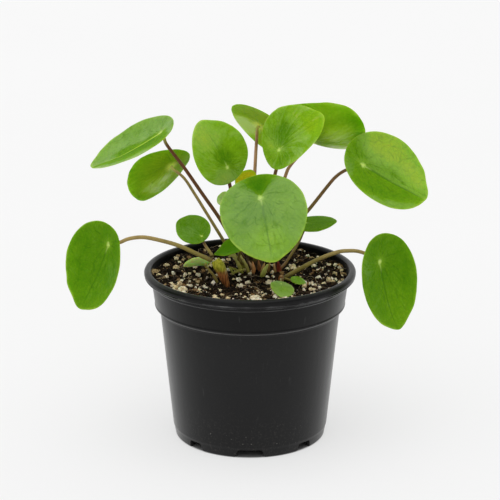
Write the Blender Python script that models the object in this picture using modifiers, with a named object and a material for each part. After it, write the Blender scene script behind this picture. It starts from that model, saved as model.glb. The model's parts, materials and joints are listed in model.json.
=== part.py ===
"""A young Chinese money plant in a black plastic nursery pot.

The origin is on the pot's axis, where the pot stands on its surface. +Z is up and the
camera's side is -Y. Lengths in the tables are millimetres and angles are degrees.
"""
import math
import random
from collections import namedtuple

import bmesh
import bpy
from mathutils import Matrix, Vector, noise
from mathutils.bvhtree import BVHTree

MM = 0.001
GAP = 0.3               # clearance between pieces that touch on the real plant

# Pot
POT_HEIGHT = 91.0
RIM_RADIUS = 55.4
RIM_LAND = 3.9          # width of the lip
LIP_HEIGHT = 4.4
BAND_TOP_RADIUS = 51.4  # straight band below the lip
BAND_FOOT_RADIUS = 49.9
BAND_FOOT = 72.0
WALL_TOP_RADIUS = 47.2
WALL_FOOT_RADIUS = 40.9
WALL = 1.3
FOOT_HEIGHT = 6.0
FOOT_RADIUS = 39.7
FOOT_SKIRT = 1.7
FLOOR_UNDER = 3.9
FLOOR_TOP = 5.2
POT_STEPS = 48
NOTCHES = 8
NOTCH_FOOT_WIDTH = 15.6
NOTCH_TOP_WIDTH = 12.4
NOTCH_HEIGHT = 3.6
DRAIN_RADIUS = 3.2
DRAIN_CIRCLE = 31.0

# Potting mix
MIX_EDGE_HEIGHT = 87.0
MIX_MOUND = 0.6
MIX_RELIEF = 0.7
MIX_STEPS = 28
MIX_RINGS = 6
PERLITE_COUNT = 76
PERLITE_SIZES = (0.9, 1.8)  # radius
BARK_COUNT = 30
BARK_LENGTHS = (3.2, 6.5)
BARK_THICKNESSES = (1.3, 2.0)
GRAIN_LIFT = 0.25       # a grain's centre stands this share of its radius above the mix
CLEARANCE = 0.6         # between a grain and a stem
HOLE_DEPTH = 6.0        # how deep the stems stand in the mix
HOLE_SLACK = 0.1        # a hole is many-sided, so it is cut a little wider
HOLE_CUTTER = 20.0      # the cutter's length, well out of the mix

# Stems
MAIN_STEM = Vector((2.5, 10.0))
MAIN_STEM_RADIUS = 4.5
MAIN_STEM_TOP = 101.0
LEAF_SCARS = (96.5, 93.2, 90.0)  # heights of the grooves round the main stem
RIGHT_STEM = Vector((16.4, -11.3))
RIGHT_STEM_RADIUS = 1.9
RIGHT_STEM_TOP = 89.8
LEFT_STEM = [           # x, y and radius, from the foot up
    (-11.8, -20.3, 1.4),
    (-11.8, -20.3, 1.4),
    (-13.1, -19.8, 2.2),
    (-14.5, -19.2, 2.7),
    (-16.4, -18.7, 3.0),
    (-17.9, -18.3, 2.3),
]
LEFT_STEM_HEIGHTS = (81.3, 87.6, 91.0, 95.0, 98.8, 100.9)

# Blades
BLADE = 0.8             # thickness
TIP_SHARE = 0.035       # how far the soft point stands out of the ellipse
TIP_SPREAD = 0.3
EGG = 0.04
LARGE_MESH = (28, 3)    # spokes and rings
SMALL_MESH = (16, 2)

Leaf = namedtuple("Leaf", "name spot azimuth elevation roll length width arch cup share slide "
                          "stalk route")

# spot: where the stalk meets the blade. azimuth and elevation: where the upper face looks,
# azimuth from the front towards +X. roll: turns the blade's point from straight down.
# share: how far the spot is from the rounded end. slide: how far it is off the midline.
# route: the stalk's points from its foot to just short of the blade.
LEAVES = [
    Leaf("front", (5.3, -25, 136.2), -3, 43, 12, 46.5, 43.5, 0.19, 0.3, 0.29, 0, 1.15,
         [(2.7, 4.1, 94), (3.6, -3, 104), (4.8, -13, 120), (5.3, -20, 129.8)]),
    Leaf("upper_left", (-11.5, -8, 147.5), 34, 9, -159, 33.5, 31.2, 0.36, 0.08, 0.25, 0, 1,
         [(-0.9, 5.1, 96.5), (-3.2, 3.6, 106), (-8, 1, 123), (-11, -1.5, 139),
          (-13, -4, 145)]),
    Leaf("upper_middle", (14.7, -6, 156.2), -50, 28, 143, 36.5, 34.2, 0.27, 0.42, 0.265, -1.6, 1,
         [(7.3, 6.6, 95.5), (8.4, 6.8, 106), (10, 6, 125), (13.2, 2.5, 142),
          (15.6, -1.8, 151)]),
    Leaf("upper_right", (58.7, 7, 144.8), 40, 41, 42, 48.3, 45.1, -0.12, 0.36, 0.245, -2.5, 0.95,
         [(8.4, 9.5, 92.5), (16, 9.5, 102.5), (30.2, 9.5, 119.1), (41.1, 9.5, 133.4),
          (45.1, 9.8, 137.9), (49.5, 10, 140.9), (54.2, 9.9, 142.3)]),
    Leaf("low_left", (-71.9, -30, 112.8), -52, 10, -15, 45.5, 42.7, -0.17, 0.4, 0.215, 2.3, 1.1,
         [(-19.7, -17.9, 100.6), (-22.8, -17.8, 102), (-27.9, -17.9, 104.4),
          (-34.7, -18.8, 108.1), (-41.6, -20, 110.9), (-51.2, -23, 114.2),
          (-56.6, -25, 115.2), (-62, -26.8, 114.8), (-65.6, -27.8, 113.5)]),
    Leaf("low_right", (67.1, -14, 98.6), 51, 10, 0, 48.6, 45.4, -0.22, 0.32, 0.295, -1.5, 1.1,
         [(18.3, -11.7, 89.6), (21.3, -12.2, 91.6), (28.4, -12.6, 95.9),
          (36.1, -12.8, 100), (44.9, -12.6, 103.4), (50.5, -12.2, 104),
          (56.1, -11.6, 103.5), (61.5, -11.2, 101.2)]),
    Leaf("high_left", (-46.2, 5, 162.7), -81, 53, -6, 47.3, 44.2, -0.21, 0.32, 0.185, 2.2, 1,
         [(-3.3, 10.5, 92.5), (-9.5, 10.3, 103), (-15.8, 9.4, 114.8), (-25, 8.2, 129),
          (-34, 7, 143), (-40.4, 6, 152), (-43.5, 5.6, 156.8)]),
    Leaf("back_left", (-42.1, 30, 138.3), -143, 35, 14, 38.4, 36, -0.03, 0.46, 0.31, -2.3, 0.9,
         [(-3.5, 11.8, 90), (-8.5, 12.5, 93.6), (-12.2, 13.5, 98.7), (-16.4, 15, 105.3),
          (-23, 19, 115.2), (-29.6, 23, 125.1), (-34.9, 26, 132.4)]),
    Leaf("back_middle", (5.1, 44, 156.9), 140, 38, -95, 45.8, 42.8, 0.31, -0.37, 0.31, 1.1, 0.95,
         [(3, 15.9, 94.5), (2.5, 17.6, 108), (2.3, 24, 128), (3, 33, 143), (3.6, 39, 151.6)]),
    Leaf("back_right", (31.4, 39, 150.1), 131, 59, -105, 51.4, 48.2, -0.6, 0.4, 0.275, 3.9, 0.95,
         [(6.7, 14.2, 93), (9.5, 16.4, 104.4), (13.8, 22.5, 117.5), (19, 31.2, 132.7),
          (21.2, 34, 136.7), (25.1, 37.3, 140.6), (28.8, 37.6, 144.3)]),
    Leaf("small_left", (-24.9, -8.3, 110.8), -4, 48, -119, 18.3, 17.1, -0.04, 0.06, 0.17, 1.2, 0.8,
         [(-19.3, -16.6, 102.6), (-21.2, -13.8, 104.6), (-23, -10, 106),
          (-24.1, -7.4, 107.3)]),
    Leaf("small_right", (29.5, 20, 109.6), -15, 81, 95, 21.3, 19.9, -0.13, -0.05, 0.255, 0.4, 0.8,
         [(15.4, 4.7, 81.4), (15.4, 4.7, 86.5), (16, 5.2, 88.8), (18.5, 7, 91),
          (21.9, 11, 94.9), (25.8, 15, 100.4), (28.1, 18, 104.8)]),
    Leaf("crown_left", (-5.1, -5, 105), -46, 66, -45, 16.5, 15.5, 0.1, 0.3, 0.25, 0, 0.8,
         [(-1.55, 7.05, 90), (-4.8, 3.5, 92.5), (-6, -1, 96.5)]),
    Leaf("young_left", (-11.8, 5, 126.2), -35, 35, -100, 9.5, 8, 0.1, 0.5, 0.27, 0, 0.8,
         [(-2.8, 7.5, 98.5), (-6.5, 7.2, 108), (-9.7, 7, 118)]),
    Leaf("young_back", (-3.5, 16, 132.2), -20, 50, 170, 13, 11, 0.1, 0.3, 0.27, 0, 0.8,
         [(0.1, 15.2, 97.5), (-1.5, 16.3, 107), (-3, 17, 119)]),
    Leaf("sprout_left", (-22.8, -10.3, 97.2), 171, 52, 94, 13.4, 12.6, 0.26, 0.18, 0.17, 0.2, 0.7,
         [(-17, -14.3, 81.4), (-17, -14.3, 87.2), (-17.6, -14.3, 89.2), (-19, -14.2, 91.6),
          (-21, -13.6, 94)]),
    Leaf("sprout_right", (15.9, -30.6, 92.3), 58, 71, -56, 13.3, 12.4, 0.19, 0.07, 0.21, -0.6, 0.6,
         [(15.9, -14.3, 89.4), (15.8, -19, 89.7), (15.8, -26, 90.4)]),
    Leaf("sprout_tiny", (22.7, -19.2, 91.6), 40, 74, 49, 7.9, 7.4, 0.13, -0.05, 0.225, 1.2, 0.6,
         [(18.1, -13.9, 89.6), (20.3, -16.2, 89.6)]),
]
STALK_NECK = 1.5        # the stalk's last stretch, square to the blade, in stalk radii
STALK_STEPS = 2         # points per stretch of a route
STALK_FOOT = 1.1        # share of its radius that a stalk has at its foot
STALK_TOP = 0.9
SMALL_LEAF = 25.0       # a blade shorter than this gets the coarser mesh

SCENE = bpy.context.scene


def new_collection(name):
    collection = bpy.data.collections.new(name)
    SCENE.collection.children.link(collection)
    return collection


def material(name, color, roughness):
    made = bpy.data.materials.new(name)
    made.use_nodes = True
    shader = made.node_tree.nodes["Principled BSDF"]
    shader.inputs["Base Color"].default_value = (*color, 1.0)
    shader.inputs["Roughness"].default_value = roughness
    return made


def add_object(name, data, collection, finish=None):
    made = bpy.data.objects.new(name, data)
    collection.objects.link(made)
    if finish:
        made.data.materials.append(finish)
    return made


def freeze(thing):
    """Turn an object and its modifiers into a plain mesh in the world's frame."""
    bpy.context.view_layer.update()
    evaluated = thing.evaluated_get(bpy.context.evaluated_depsgraph_get())
    mesh = bpy.data.meshes.new_from_object(evaluated)
    mesh.transform(thing.matrix_world)
    return mesh


def turned_mesh(name, profile, steps):
    """Turn a profile of radius and height, in millimetres, once round the Z axis."""
    mesh = bpy.data.meshes.new(name)
    points = [(radius * MM, 0.0, height * MM) for radius, height in profile]
    mesh.from_pydata(points, [(i, i + 1) for i in range(len(points) - 1)], [])
    blank = add_object(name, mesh, SCENE.collection)
    screw = blank.modifiers.new("Turn", "SCREW")
    screw.axis = "Z"
    screw.steps = steps
    screw.render_steps = steps
    screw.use_merge_vertices = True
    screw.merge_threshold = 0.00005
    result = freeze(blank)
    bpy.data.objects.remove(blank)
    bpy.data.meshes.remove(mesh)
    return result


def tube_mesh(name, points, radii, sides_level):
    """A round stalk through points, with a radius at each, and closed flat ends."""
    curve = bpy.data.curves.new(name, "CURVE")
    curve.dimensions = "3D"
    curve.bevel_depth = MM
    curve.bevel_resolution = sides_level
    curve.use_fill_caps = True
    spline = curve.splines.new("POLY")
    spline.points.add(len(points) - 1)
    for place, point, radius in zip(spline.points, points, radii):
        place.co = (*(point * MM), 1.0)
        place.radius = radius
    blank = add_object(name, curve, SCENE.collection)
    mesh = freeze(blank)
    bpy.data.objects.remove(blank)
    weld(mesh)
    return mesh


def weld(mesh):
    work = bmesh.new()
    work.from_mesh(mesh)
    bmesh.ops.remove_doubles(work, verts=work.verts, dist=0.00001)
    bmesh.ops.recalc_face_normals(work, faces=work.faces)
    work.to_mesh(mesh)
    work.free()


def smooth_path(points, steps):
    """Points along a curve through every given point, with its last stretch straight."""
    ends = [points[0] * 2 - points[1], *points]
    path = []
    for i in range(1, len(ends) - 2):
        before, start, finish, after = ends[i - 1:i + 3]
        for k in range(steps):
            t = k / steps
            path.append(0.5 * (2 * start + (finish - before) * t
                               + (2 * before - 5 * start + 4 * finish - after) * t ** 2
                               + (3 * start - before - 3 * finish + after) * t ** 3))
    return [*path, *points[-2:]]


def keep_largest_shell(mesh):
    """Fill the hollows that joining seals and drop loose scraps: one skin is left."""
    work = bmesh.new()
    work.from_mesh(mesh)
    unseen = set(work.verts)
    shells = []
    while unseen:
        shell = {unseen.pop()}
        front = list(shell)
        while front:
            for edge in front.pop().link_edges:
                fresh = [vert for vert in edge.verts if vert not in shell]
                shell.update(fresh)
                front.extend(fresh)
        unseen -= shell
        shells.append(shell)
    largest = max(shells, key=len)
    scraps = [vert for vert in work.verts if vert not in largest]
    bmesh.ops.delete(work, geom=scraps, context="VERTS")
    work.to_mesh(mesh)
    work.free()


def boolean(target, operation, collection):
    """Join or cut a target with everything in a collection, then remove what was used."""
    step = target.modifiers.new(operation.title(), "BOOLEAN")
    step.operation = operation
    step.solver = "MANIFOLD"
    step.operand_type = "COLLECTION"
    step.collection = collection
    mesh = freeze(target)
    keep_largest_shell(mesh)
    target.modifiers.remove(step)
    target.data = mesh
    for used in list(collection.objects):
        bpy.data.objects.remove(used)
    bpy.data.collections.remove(collection)


def shade_round(thing, angle):
    thing.data.shade_smooth()
    thing.data.set_sharp_from_angle(angle=math.radians(angle))


def add_cutter(name, mesh, collection):
    cutter = add_object(name, mesh, collection)
    cutter.hide_render = True
    cutter.display_type = "WIRE"
    return cutter


def pot_outer_wall():
    """The outside of the pot from the lip's crest down to the foot."""
    lip_under = POT_HEIGHT - LIP_HEIGHT
    return [
        (RIM_RADIUS - 2.2, POT_HEIGHT),
        (RIM_RADIUS - 0.9, POT_HEIGHT - 0.3),
        (RIM_RADIUS - 0.2, POT_HEIGHT - 0.9),
        (RIM_RADIUS, POT_HEIGHT - 1.7),
        (RIM_RADIUS - 0.1, lip_under + 1.0),
        (RIM_RADIUS - 0.7, lip_under + 0.2),
        (BAND_TOP_RADIUS + 1.0, lip_under - 0.3),
        (BAND_TOP_RADIUS + 1.0, lip_under - 1.9),
        (BAND_TOP_RADIUS, lip_under - 2.6),
        (BAND_FOOT_RADIUS, BAND_FOOT + 0.8),
        (BAND_FOOT_RADIUS + 0.1, BAND_FOOT + 0.2),
        (BAND_FOOT_RADIUS - 0.5, BAND_FOOT - 0.9),
        (WALL_TOP_RADIUS + 0.4, BAND_FOOT - 1.8),
        (WALL_TOP_RADIUS, BAND_FOOT - 3.0),
        (WALL_FOOT_RADIUS, FOOT_HEIGHT),
        (FOOT_RADIUS + 0.3, FOOT_HEIGHT - 2.4),
        (FOOT_RADIUS, 0.7),
        (FOOT_RADIUS - 0.6, 0.0),
    ]


def pot_inner_wall(inset=0.0):
    """The inside of the pot from its floor up to the lip, drawn in by an inset."""
    return [
        (WALL_FOOT_RADIUS - WALL - 1.2 - inset, FLOOR_TOP + inset),
        (WALL_FOOT_RADIUS - WALL - inset, FLOOR_TOP + 1.4 + inset),
        (WALL_TOP_RADIUS - WALL - inset, BAND_FOOT - 2.6 + inset),
        (BAND_FOOT_RADIUS - WALL - inset, BAND_FOOT + 0.6 + inset),
        (BAND_TOP_RADIUS - WALL - inset, POT_HEIGHT - LIP_HEIGHT - 2.7 + inset),
        (RIM_RADIUS - RIM_LAND - inset, POT_HEIGHT - LIP_HEIGHT - 0.9 + inset),
    ]


def make_pot(parts):
    lip_inside = RIM_RADIUS - RIM_LAND
    profile = [
        (0.0, FLOOR_TOP),
        *pot_inner_wall(),
        (lip_inside, POT_HEIGHT - 1.2),
        (lip_inside + 0.4, POT_HEIGHT - 0.4),
        (lip_inside + 1.2, POT_HEIGHT),
        *pot_outer_wall(),
        (FOOT_RADIUS - FOOT_SKIRT, 0.0),
        (FOOT_RADIUS - FOOT_SKIRT - 0.1, FLOOR_UNDER),
        (0.0, FLOOR_UNDER),
    ]
    pot = add_object("pot", turned_mesh("pot", profile, POT_STEPS), parts)
    cutters = new_collection("pot_cutters")
    for i in range(NOTCHES):
        turn = Matrix.Rotation(i * 2 * math.pi / NOTCHES - math.pi / 2, 4, "Z")
        add_cutter("notch", notch_mesh(turn), cutters)
        add_cutter("drain", drain_mesh(turn), cutters)
    boolean(pot, "DIFFERENCE", cutters)
    pot.data.materials.append(material("pot_black", (0.022, 0.022, 0.024), 0.42))
    shade_round(pot, 35)


def notch_mesh(turn):
    """A slanted-sided block that opens the foot's skirt, on the +X side before its turn."""
    work = bmesh.new()
    bmesh.ops.create_cube(work, size=1.0)
    for vert in work.verts:
        at_top = vert.co.z > 0
        width = NOTCH_TOP_WIDTH if at_top else NOTCH_FOOT_WIDTH + 1.0
        height = NOTCH_HEIGHT if at_top else -1.0
        depth = FOOT_RADIUS - 0.5 * FOOT_SKIRT + vert.co.x * 3 * FOOT_SKIRT
        vert.co = Vector((depth, vert.co.y * width, height)) * MM
    mesh = bpy.data.meshes.new("notch")
    work.transform(turn)
    work.to_mesh(mesh)
    work.free()
    return mesh


def drain_mesh(turn):
    work = bmesh.new()
    middle = (FLOOR_TOP + FLOOR_UNDER) / 2
    place = turn @ Matrix.Translation(Vector((DRAIN_CIRCLE, 0, middle)) * MM)
    bmesh.ops.create_cone(work, cap_ends=True, segments=12, radius1=DRAIN_RADIUS * MM,
                          radius2=DRAIN_RADIUS * MM, depth=4 * MM, matrix=place)
    mesh = bpy.data.meshes.new("drain")
    work.to_mesh(mesh)
    work.free()
    return mesh


def mix_height(x, y):
    """Height of the mix's surface, in millimetres: a low mound with a rough skin."""
    edge = pot_inner_wall(GAP)[-1][0]
    share = min(1.0, math.hypot(x, y) / edge)
    rough = noise.noise(Vector((x * 0.11, y * 0.11, 3.7)))
    return MIX_EDGE_HEIGHT + MIX_MOUND * (1 - share ** 2) + MIX_RELIEF * rough


def low_things():
    """Places near the surface that grains keep away from: x, y and a clear radius."""
    places = [(*MAIN_STEM, MAIN_STEM_RADIUS), (*RIGHT_STEM, RIGHT_STEM_RADIUS)]
    places += [(x, y, radius) for x, y, radius in LEFT_STEM]
    for leaf in LEAVES:
        for point in stalk_path(leaf):
            if point.z < MIX_EDGE_HEIGHT + 7:
                places.append((point.x, point.y, leaf.stalk))
        if leaf.spot[2] < MIX_EDGE_HEIGHT + 8:
            places.append((leaf.spot[0], leaf.spot[1], 0.5 * leaf.length))
    return places


def is_clear(x, y, size, places):
    return all(math.hypot(x - px, y - py) > size + radius + CLEARANCE for px, py, radius in places)


def scatter(count, sizes, reach, places, surface, draw):
    """Random points on the mix, each with a size, clear of the stems and the pot's wall."""
    found = []
    while len(found) < count:
        size = draw.uniform(*sizes)
        radius = (reach - size) * math.sqrt(draw.random())
        angle = draw.uniform(0, 2 * math.pi)
        x, y = radius * math.cos(angle), radius * math.sin(angle)
        if is_clear(x, y, size, places):
            above = Vector((x, y, POT_HEIGHT)) * MM
            found.append((surface.ray_cast(above, Vector((0, 0, -1)))[0], size))
    return found


def add_perlite(grains, places, surface, draw):
    reach = pot_inner_wall(GAP)[-1][0] - 0.8
    for ground, size in scatter(PERLITE_COUNT, PERLITE_SIZES, reach, places, surface, draw):
        work = bmesh.new()
        bmesh.ops.create_icosphere(work, subdivisions=1, radius=size * MM)
        for vert in work.verts:
            vert.co *= draw.uniform(0.85, 1.15)
        centre = ground + Vector((0, 0, GRAIN_LIFT * size * MM))
        work.transform(Matrix.Translation(centre) @ Matrix.Rotation(draw.uniform(0, 6), 4, "Z"))
        mesh = bpy.data.meshes.new("perlite")
        work.to_mesh(mesh)
        work.free()
        add_object("perlite", mesh, grains)


def add_bark(grains, places, surface, draw):
    reach = pot_inner_wall(GAP)[-1][0] - 2.0
    half_sizes = [0.5 * length for length in BARK_LENGTHS]
    for ground, half in scatter(BARK_COUNT, half_sizes, reach, places, surface, draw):
        work = bmesh.new()
        bmesh.ops.create_cube(work, size=1.0)
        sizes = Vector((2 * half, draw.uniform(0.35, 0.6) * 2 * half, draw.uniform(*BARK_THICKNESSES)))
        for vert in work.verts:
            vert.co = vert.co * sizes * draw.uniform(0.9, 1.05) * MM
        tilt = Matrix.Rotation(draw.uniform(-0.35, 0.35), 4, "X")
        turn = Matrix.Rotation(draw.uniform(0, 2 * math.pi), 4, "Z")
        work.transform(Matrix.Translation(ground) @ turn @ tilt)
        mesh = bpy.data.meshes.new("bark")
        work.to_mesh(mesh)
        work.free()
        add_object("bark", mesh, grains)


def add_stem_holes(cutters):
    """Plain upright holes in the mix for the three stems and two stalks that stand in it."""
    buried = [leaf for leaf in LEAVES if leaf.route[0][2] < MIX_EDGE_HEIGHT - 1]
    holes = [(*MAIN_STEM, MAIN_STEM_RADIUS), (*RIGHT_STEM, RIGHT_STEM_RADIUS)]
    holes.append((LEFT_STEM[0][0], LEFT_STEM[0][1], LEFT_STEM[0][2]))
    holes += [(*leaf.route[0][:2], STALK_FOOT * leaf.stalk) for leaf in buried]
    floor = MIX_EDGE_HEIGHT - HOLE_DEPTH
    for x, y, radius in holes:
        work = bmesh.new()
        place = Matrix.Translation(Vector((x, y, floor + HOLE_CUTTER / 2)) * MM)
        reach = (radius + GAP + HOLE_SLACK) * MM
        bmesh.ops.create_cone(work, cap_ends=True, segments=16, radius1=reach,
                              radius2=reach, depth=HOLE_CUTTER * MM, matrix=place)
        mesh = bpy.data.meshes.new("hole")
        work.to_mesh(mesh)
        work.free()
        add_cutter("hole", mesh, cutters)


def make_mix(parts):
    side = pot_inner_wall(GAP)
    edge_radius = side[-1][0]
    rings = [(edge_radius * i / MIX_RINGS, MIX_EDGE_HEIGHT) for i in range(MIX_RINGS + 1)]
    profile = [*rings, *reversed(side), (0.0, FLOOR_TOP + GAP)]
    mesh = turned_mesh("soil", profile, MIX_STEPS)
    work = bmesh.new()
    work.from_mesh(mesh)
    bmesh.ops.triangulate(work, faces=work.faces)
    for vert in work.verts:
        if vert.co.z > (MIX_EDGE_HEIGHT - 0.1) * MM:
            vert.co.z = mix_height(vert.co.x / MM, vert.co.y / MM) * MM
    work.to_mesh(mesh)
    work.free()
    soil = add_object("soil", mesh, parts)
    draw = random.Random(11)
    places = low_things()
    surface = BVHTree.FromPolygons([vert.co for vert in mesh.vertices],
                                   [face.vertices for face in mesh.polygons])
    grains = new_collection("grains")
    add_perlite(grains, places, surface, draw)
    add_bark(grains, places, surface, draw)
    boolean(soil, "UNION", grains)
    cutters = new_collection("stem_holes")
    add_stem_holes(cutters)
    boolean(soil, "DIFFERENCE", cutters)
    soil.data.materials.append(material("potting_mix", (0.075, 0.052, 0.038), 0.95))
    shade_round(soil, 25)


def make_main_stem(parts, finish):
    """A short stump with the rings that fallen leaves left, ending in the growing bud."""
    foot = MIX_EDGE_HEIGHT - HOLE_DEPTH + GAP
    radius = MAIN_STEM_RADIUS
    profile = [(0.0, MAIN_STEM_TOP + 4), (0.9, MAIN_STEM_TOP + 3), (2.2, MAIN_STEM_TOP)]
    profile += [(radius - 0.6, MAIN_STEM_TOP - 1.0), (radius - 0.1, MAIN_STEM_TOP - 2.5)]
    for scar in LEAF_SCARS:
        profile += [(radius - 0.4, scar), (radius, scar - 1.2)]
    profile += [(radius, foot), (0.0, foot)]
    mesh = turned_mesh("main_stem", profile, 16)
    mesh.transform(Matrix.Translation((MAIN_STEM * MM).to_3d()))
    shade_round(add_object("main_stem", mesh, parts, finish), 60)


def make_right_stem(parts, finish):
    foot = MIX_EDGE_HEIGHT - HOLE_DEPTH + GAP
    radius = RIGHT_STEM_RADIUS
    profile = [(0.0, RIGHT_STEM_TOP + 1), (1.0, RIGHT_STEM_TOP + 0.6)]
    profile += [(radius - 0.3, RIGHT_STEM_TOP - 0.4), (radius, foot), (0.0, foot)]
    mesh = turned_mesh("offset_stem_right", profile, 12)
    mesh.transform(Matrix.Translation((RIGHT_STEM * MM).to_3d()))
    shade_round(add_object("offset_stem_right", mesh, parts, finish), 60)


def make_left_stem(parts, finish):
    """The plantlet's stem leans out, thin at its foot and thickest in its sheath."""
    points = [Vector((x, y, z)) for (x, y, _), z in zip(LEFT_STEM, LEFT_STEM_HEIGHTS)]
    radii = [radius for _, _, radius in LEFT_STEM]
    mesh = tube_mesh("offset_stem_left", points, radii, 4)
    shade_round(add_object("offset_stem_left", mesh, parts, finish), 60)


def blade_axes(leaf):
    """The blade's own axes: towards its point, across it, and out of its upper face."""
    azimuth = math.radians(leaf.azimuth)
    elevation = math.radians(leaf.elevation)
    roll = math.radians(leaf.roll)
    level = math.cos(elevation)
    face = Vector((math.sin(azimuth) * level, -math.cos(azimuth) * level, math.sin(elevation)))
    aside = Vector((math.cos(azimuth), math.sin(azimuth), 0.0))
    down = aside.cross(face)
    if down.z > 0:
        down = -down
    point = math.cos(roll) * down + math.sin(roll) * aside
    return point, face.cross(point), face


def blade_point(leaf, share, angle):
    """A point on the upper face: share 0 is the spot and 1 the edge, angle 0 the tip."""
    along = leaf.length * (0.5 - leaf.share + 0.5 * math.cos(angle))
    along += leaf.length * TIP_SHARE * math.exp(-(angle / TIP_SPREAD) ** 2)
    across = 0.5 * leaf.width * math.sin(angle) * (1 - EGG * math.cos(angle)) - leaf.slide
    along *= share
    across *= share
    out = leaf.cup * across ** 2 / leaf.width - leaf.arch * along ** 2 / leaf.length
    point, side, face = blade_axes(leaf)
    return Vector(leaf.spot) + along * point + across * side + out * face


def stalk_path(leaf):
    """The stalk's centre line, square to the blade where it meets the underside."""
    face = blade_axes(leaf)[2]
    spot = Vector(leaf.spot)
    top = spot - (BLADE + GAP) * face
    neck = top - STALK_NECK * leaf.stalk * face
    return smooth_path([*map(Vector, leaf.route), neck, top], STALK_STEPS)


def make_leaf(leaf, parts, blade_finish, stalk_finish):
    spokes, rings = SMALL_MESH if leaf.length < SMALL_LEAF else LARGE_MESH
    disc = turned_mesh("disc", [(i / rings / MM, 0.0) for i in range(rings + 1)], spokes)
    work = bmesh.new()
    work.from_mesh(disc)
    bmesh.ops.triangulate(work, faces=work.faces)
    for vert in work.verts:
        angle = math.atan2(vert.co.y, vert.co.x)
        vert.co = blade_point(leaf, vert.co.to_2d().length, angle) * MM
    work.to_mesh(disc)
    work.free()
    blade = add_object("leaf_" + leaf.name, disc, parts, blade_finish)
    shell = blade.modifiers.new("Thickness", "SOLIDIFY")
    shell.thickness = BLADE * MM
    shell.offset = -1.0
    shade_round(blade, 50)

    path = stalk_path(leaf)
    last = len(path) - 1
    taper = STALK_TOP - STALK_FOOT
    radii = [leaf.stalk * (STALK_FOOT + taper * i / last) for i in range(len(path))]
    mesh = tube_mesh("petiole_" + leaf.name, path, radii, 2)
    shade_round(add_object("petiole_" + leaf.name, mesh, parts, stalk_finish), 60)


def main():
    for thing in list(bpy.data.objects):
        bpy.data.objects.remove(thing)
    parts = new_collection("potted_money_plant")
    stem_finish = material("stem_bark", (0.22, 0.13, 0.06), 0.7)
    blade_finish = material("leaf_green", (0.11, 0.30, 0.035), 0.38)
    stalk_finish = material("stalk_olive", (0.27, 0.22, 0.07), 0.45)
    make_pot(parts)
    make_mix(parts)
    make_main_stem(parts, stem_finish)
    make_left_stem(parts, stem_finish)
    make_right_stem(parts, stem_finish)
    for leaf in LEAVES:
        make_leaf(leaf, parts, blade_finish, stalk_finish)


main()
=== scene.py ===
"""A young Chinese money plant in a black plastic nursery pot, finished for close looks.

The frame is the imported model's, in metres: the origin is under the pot's axis, +Z is up and
the camera's side is -Y. Sizes in the tables are millimetres and angles are degrees.
"""
import json
import math
from collections import namedtuple

import bmesh
import bpy
from mathutils import Matrix, Vector, noise

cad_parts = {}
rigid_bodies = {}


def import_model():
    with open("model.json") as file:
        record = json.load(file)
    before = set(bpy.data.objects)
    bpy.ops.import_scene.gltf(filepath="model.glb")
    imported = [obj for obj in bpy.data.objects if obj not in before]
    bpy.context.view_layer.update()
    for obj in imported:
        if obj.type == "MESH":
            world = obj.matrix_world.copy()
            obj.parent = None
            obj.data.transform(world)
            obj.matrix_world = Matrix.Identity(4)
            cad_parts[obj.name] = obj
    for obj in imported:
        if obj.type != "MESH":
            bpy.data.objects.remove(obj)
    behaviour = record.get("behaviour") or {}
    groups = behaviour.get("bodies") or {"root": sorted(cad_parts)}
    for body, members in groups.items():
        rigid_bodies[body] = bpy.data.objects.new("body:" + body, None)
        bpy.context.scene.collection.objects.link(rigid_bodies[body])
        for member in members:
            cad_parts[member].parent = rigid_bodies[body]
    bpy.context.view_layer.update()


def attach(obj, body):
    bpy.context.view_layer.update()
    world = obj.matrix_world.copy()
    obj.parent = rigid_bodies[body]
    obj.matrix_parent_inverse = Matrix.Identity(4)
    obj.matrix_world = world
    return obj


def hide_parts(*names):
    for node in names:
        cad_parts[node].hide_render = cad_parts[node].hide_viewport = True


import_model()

MM = 0.001
SCENE = bpy.context.scene
noise.seed_set(1)       # the noise vectors are then the same in every run


# The nursery pot
# A thin-walled pot of black plastic, moulded in one shot: a folded lip, a straight band, a
# tapered wall, and a foot ring with eight notches beside eight drain holes.
POT_HEIGHT = 91.0
LIP_RADIUS = 55.4
LIP_FOOT = 86.0         # handling has polished the pot from here up
BAND_FOOT = 71.5
FLOOR_UNDER = 3.9
FLOOR_TOP = 5.2
POT_STEPS = 192
POT_EASE = 0.16         # half the width of the small radius on every moulded edge
OPENINGS = 8            # notches, and as many drain holes
SKIRT_RADIUS = 38.85    # the middle of the foot's skirt
NOTCH_DEPTH = 5.1
NOTCH_FOOT_WIDTH = 16.6     # 1 mm below the pot
NOTCH_TOP_WIDTH = 12.4
NOTCH_HEIGHT = 4.6
NOTCH_ROUND = 1.0
NARROW_NOTCH = 0.62     # every second notch's width, as a share of the others'
DRAIN_RADIUS = 3.2
DRAIN_CIRCLE = 31.0
DRAIN_DEPTH = 4.0
WALL_BLOOM = 0.32       # a dull bloom, which handling has rubbed off the lip
LIP_BLOOM = 0.06

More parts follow.
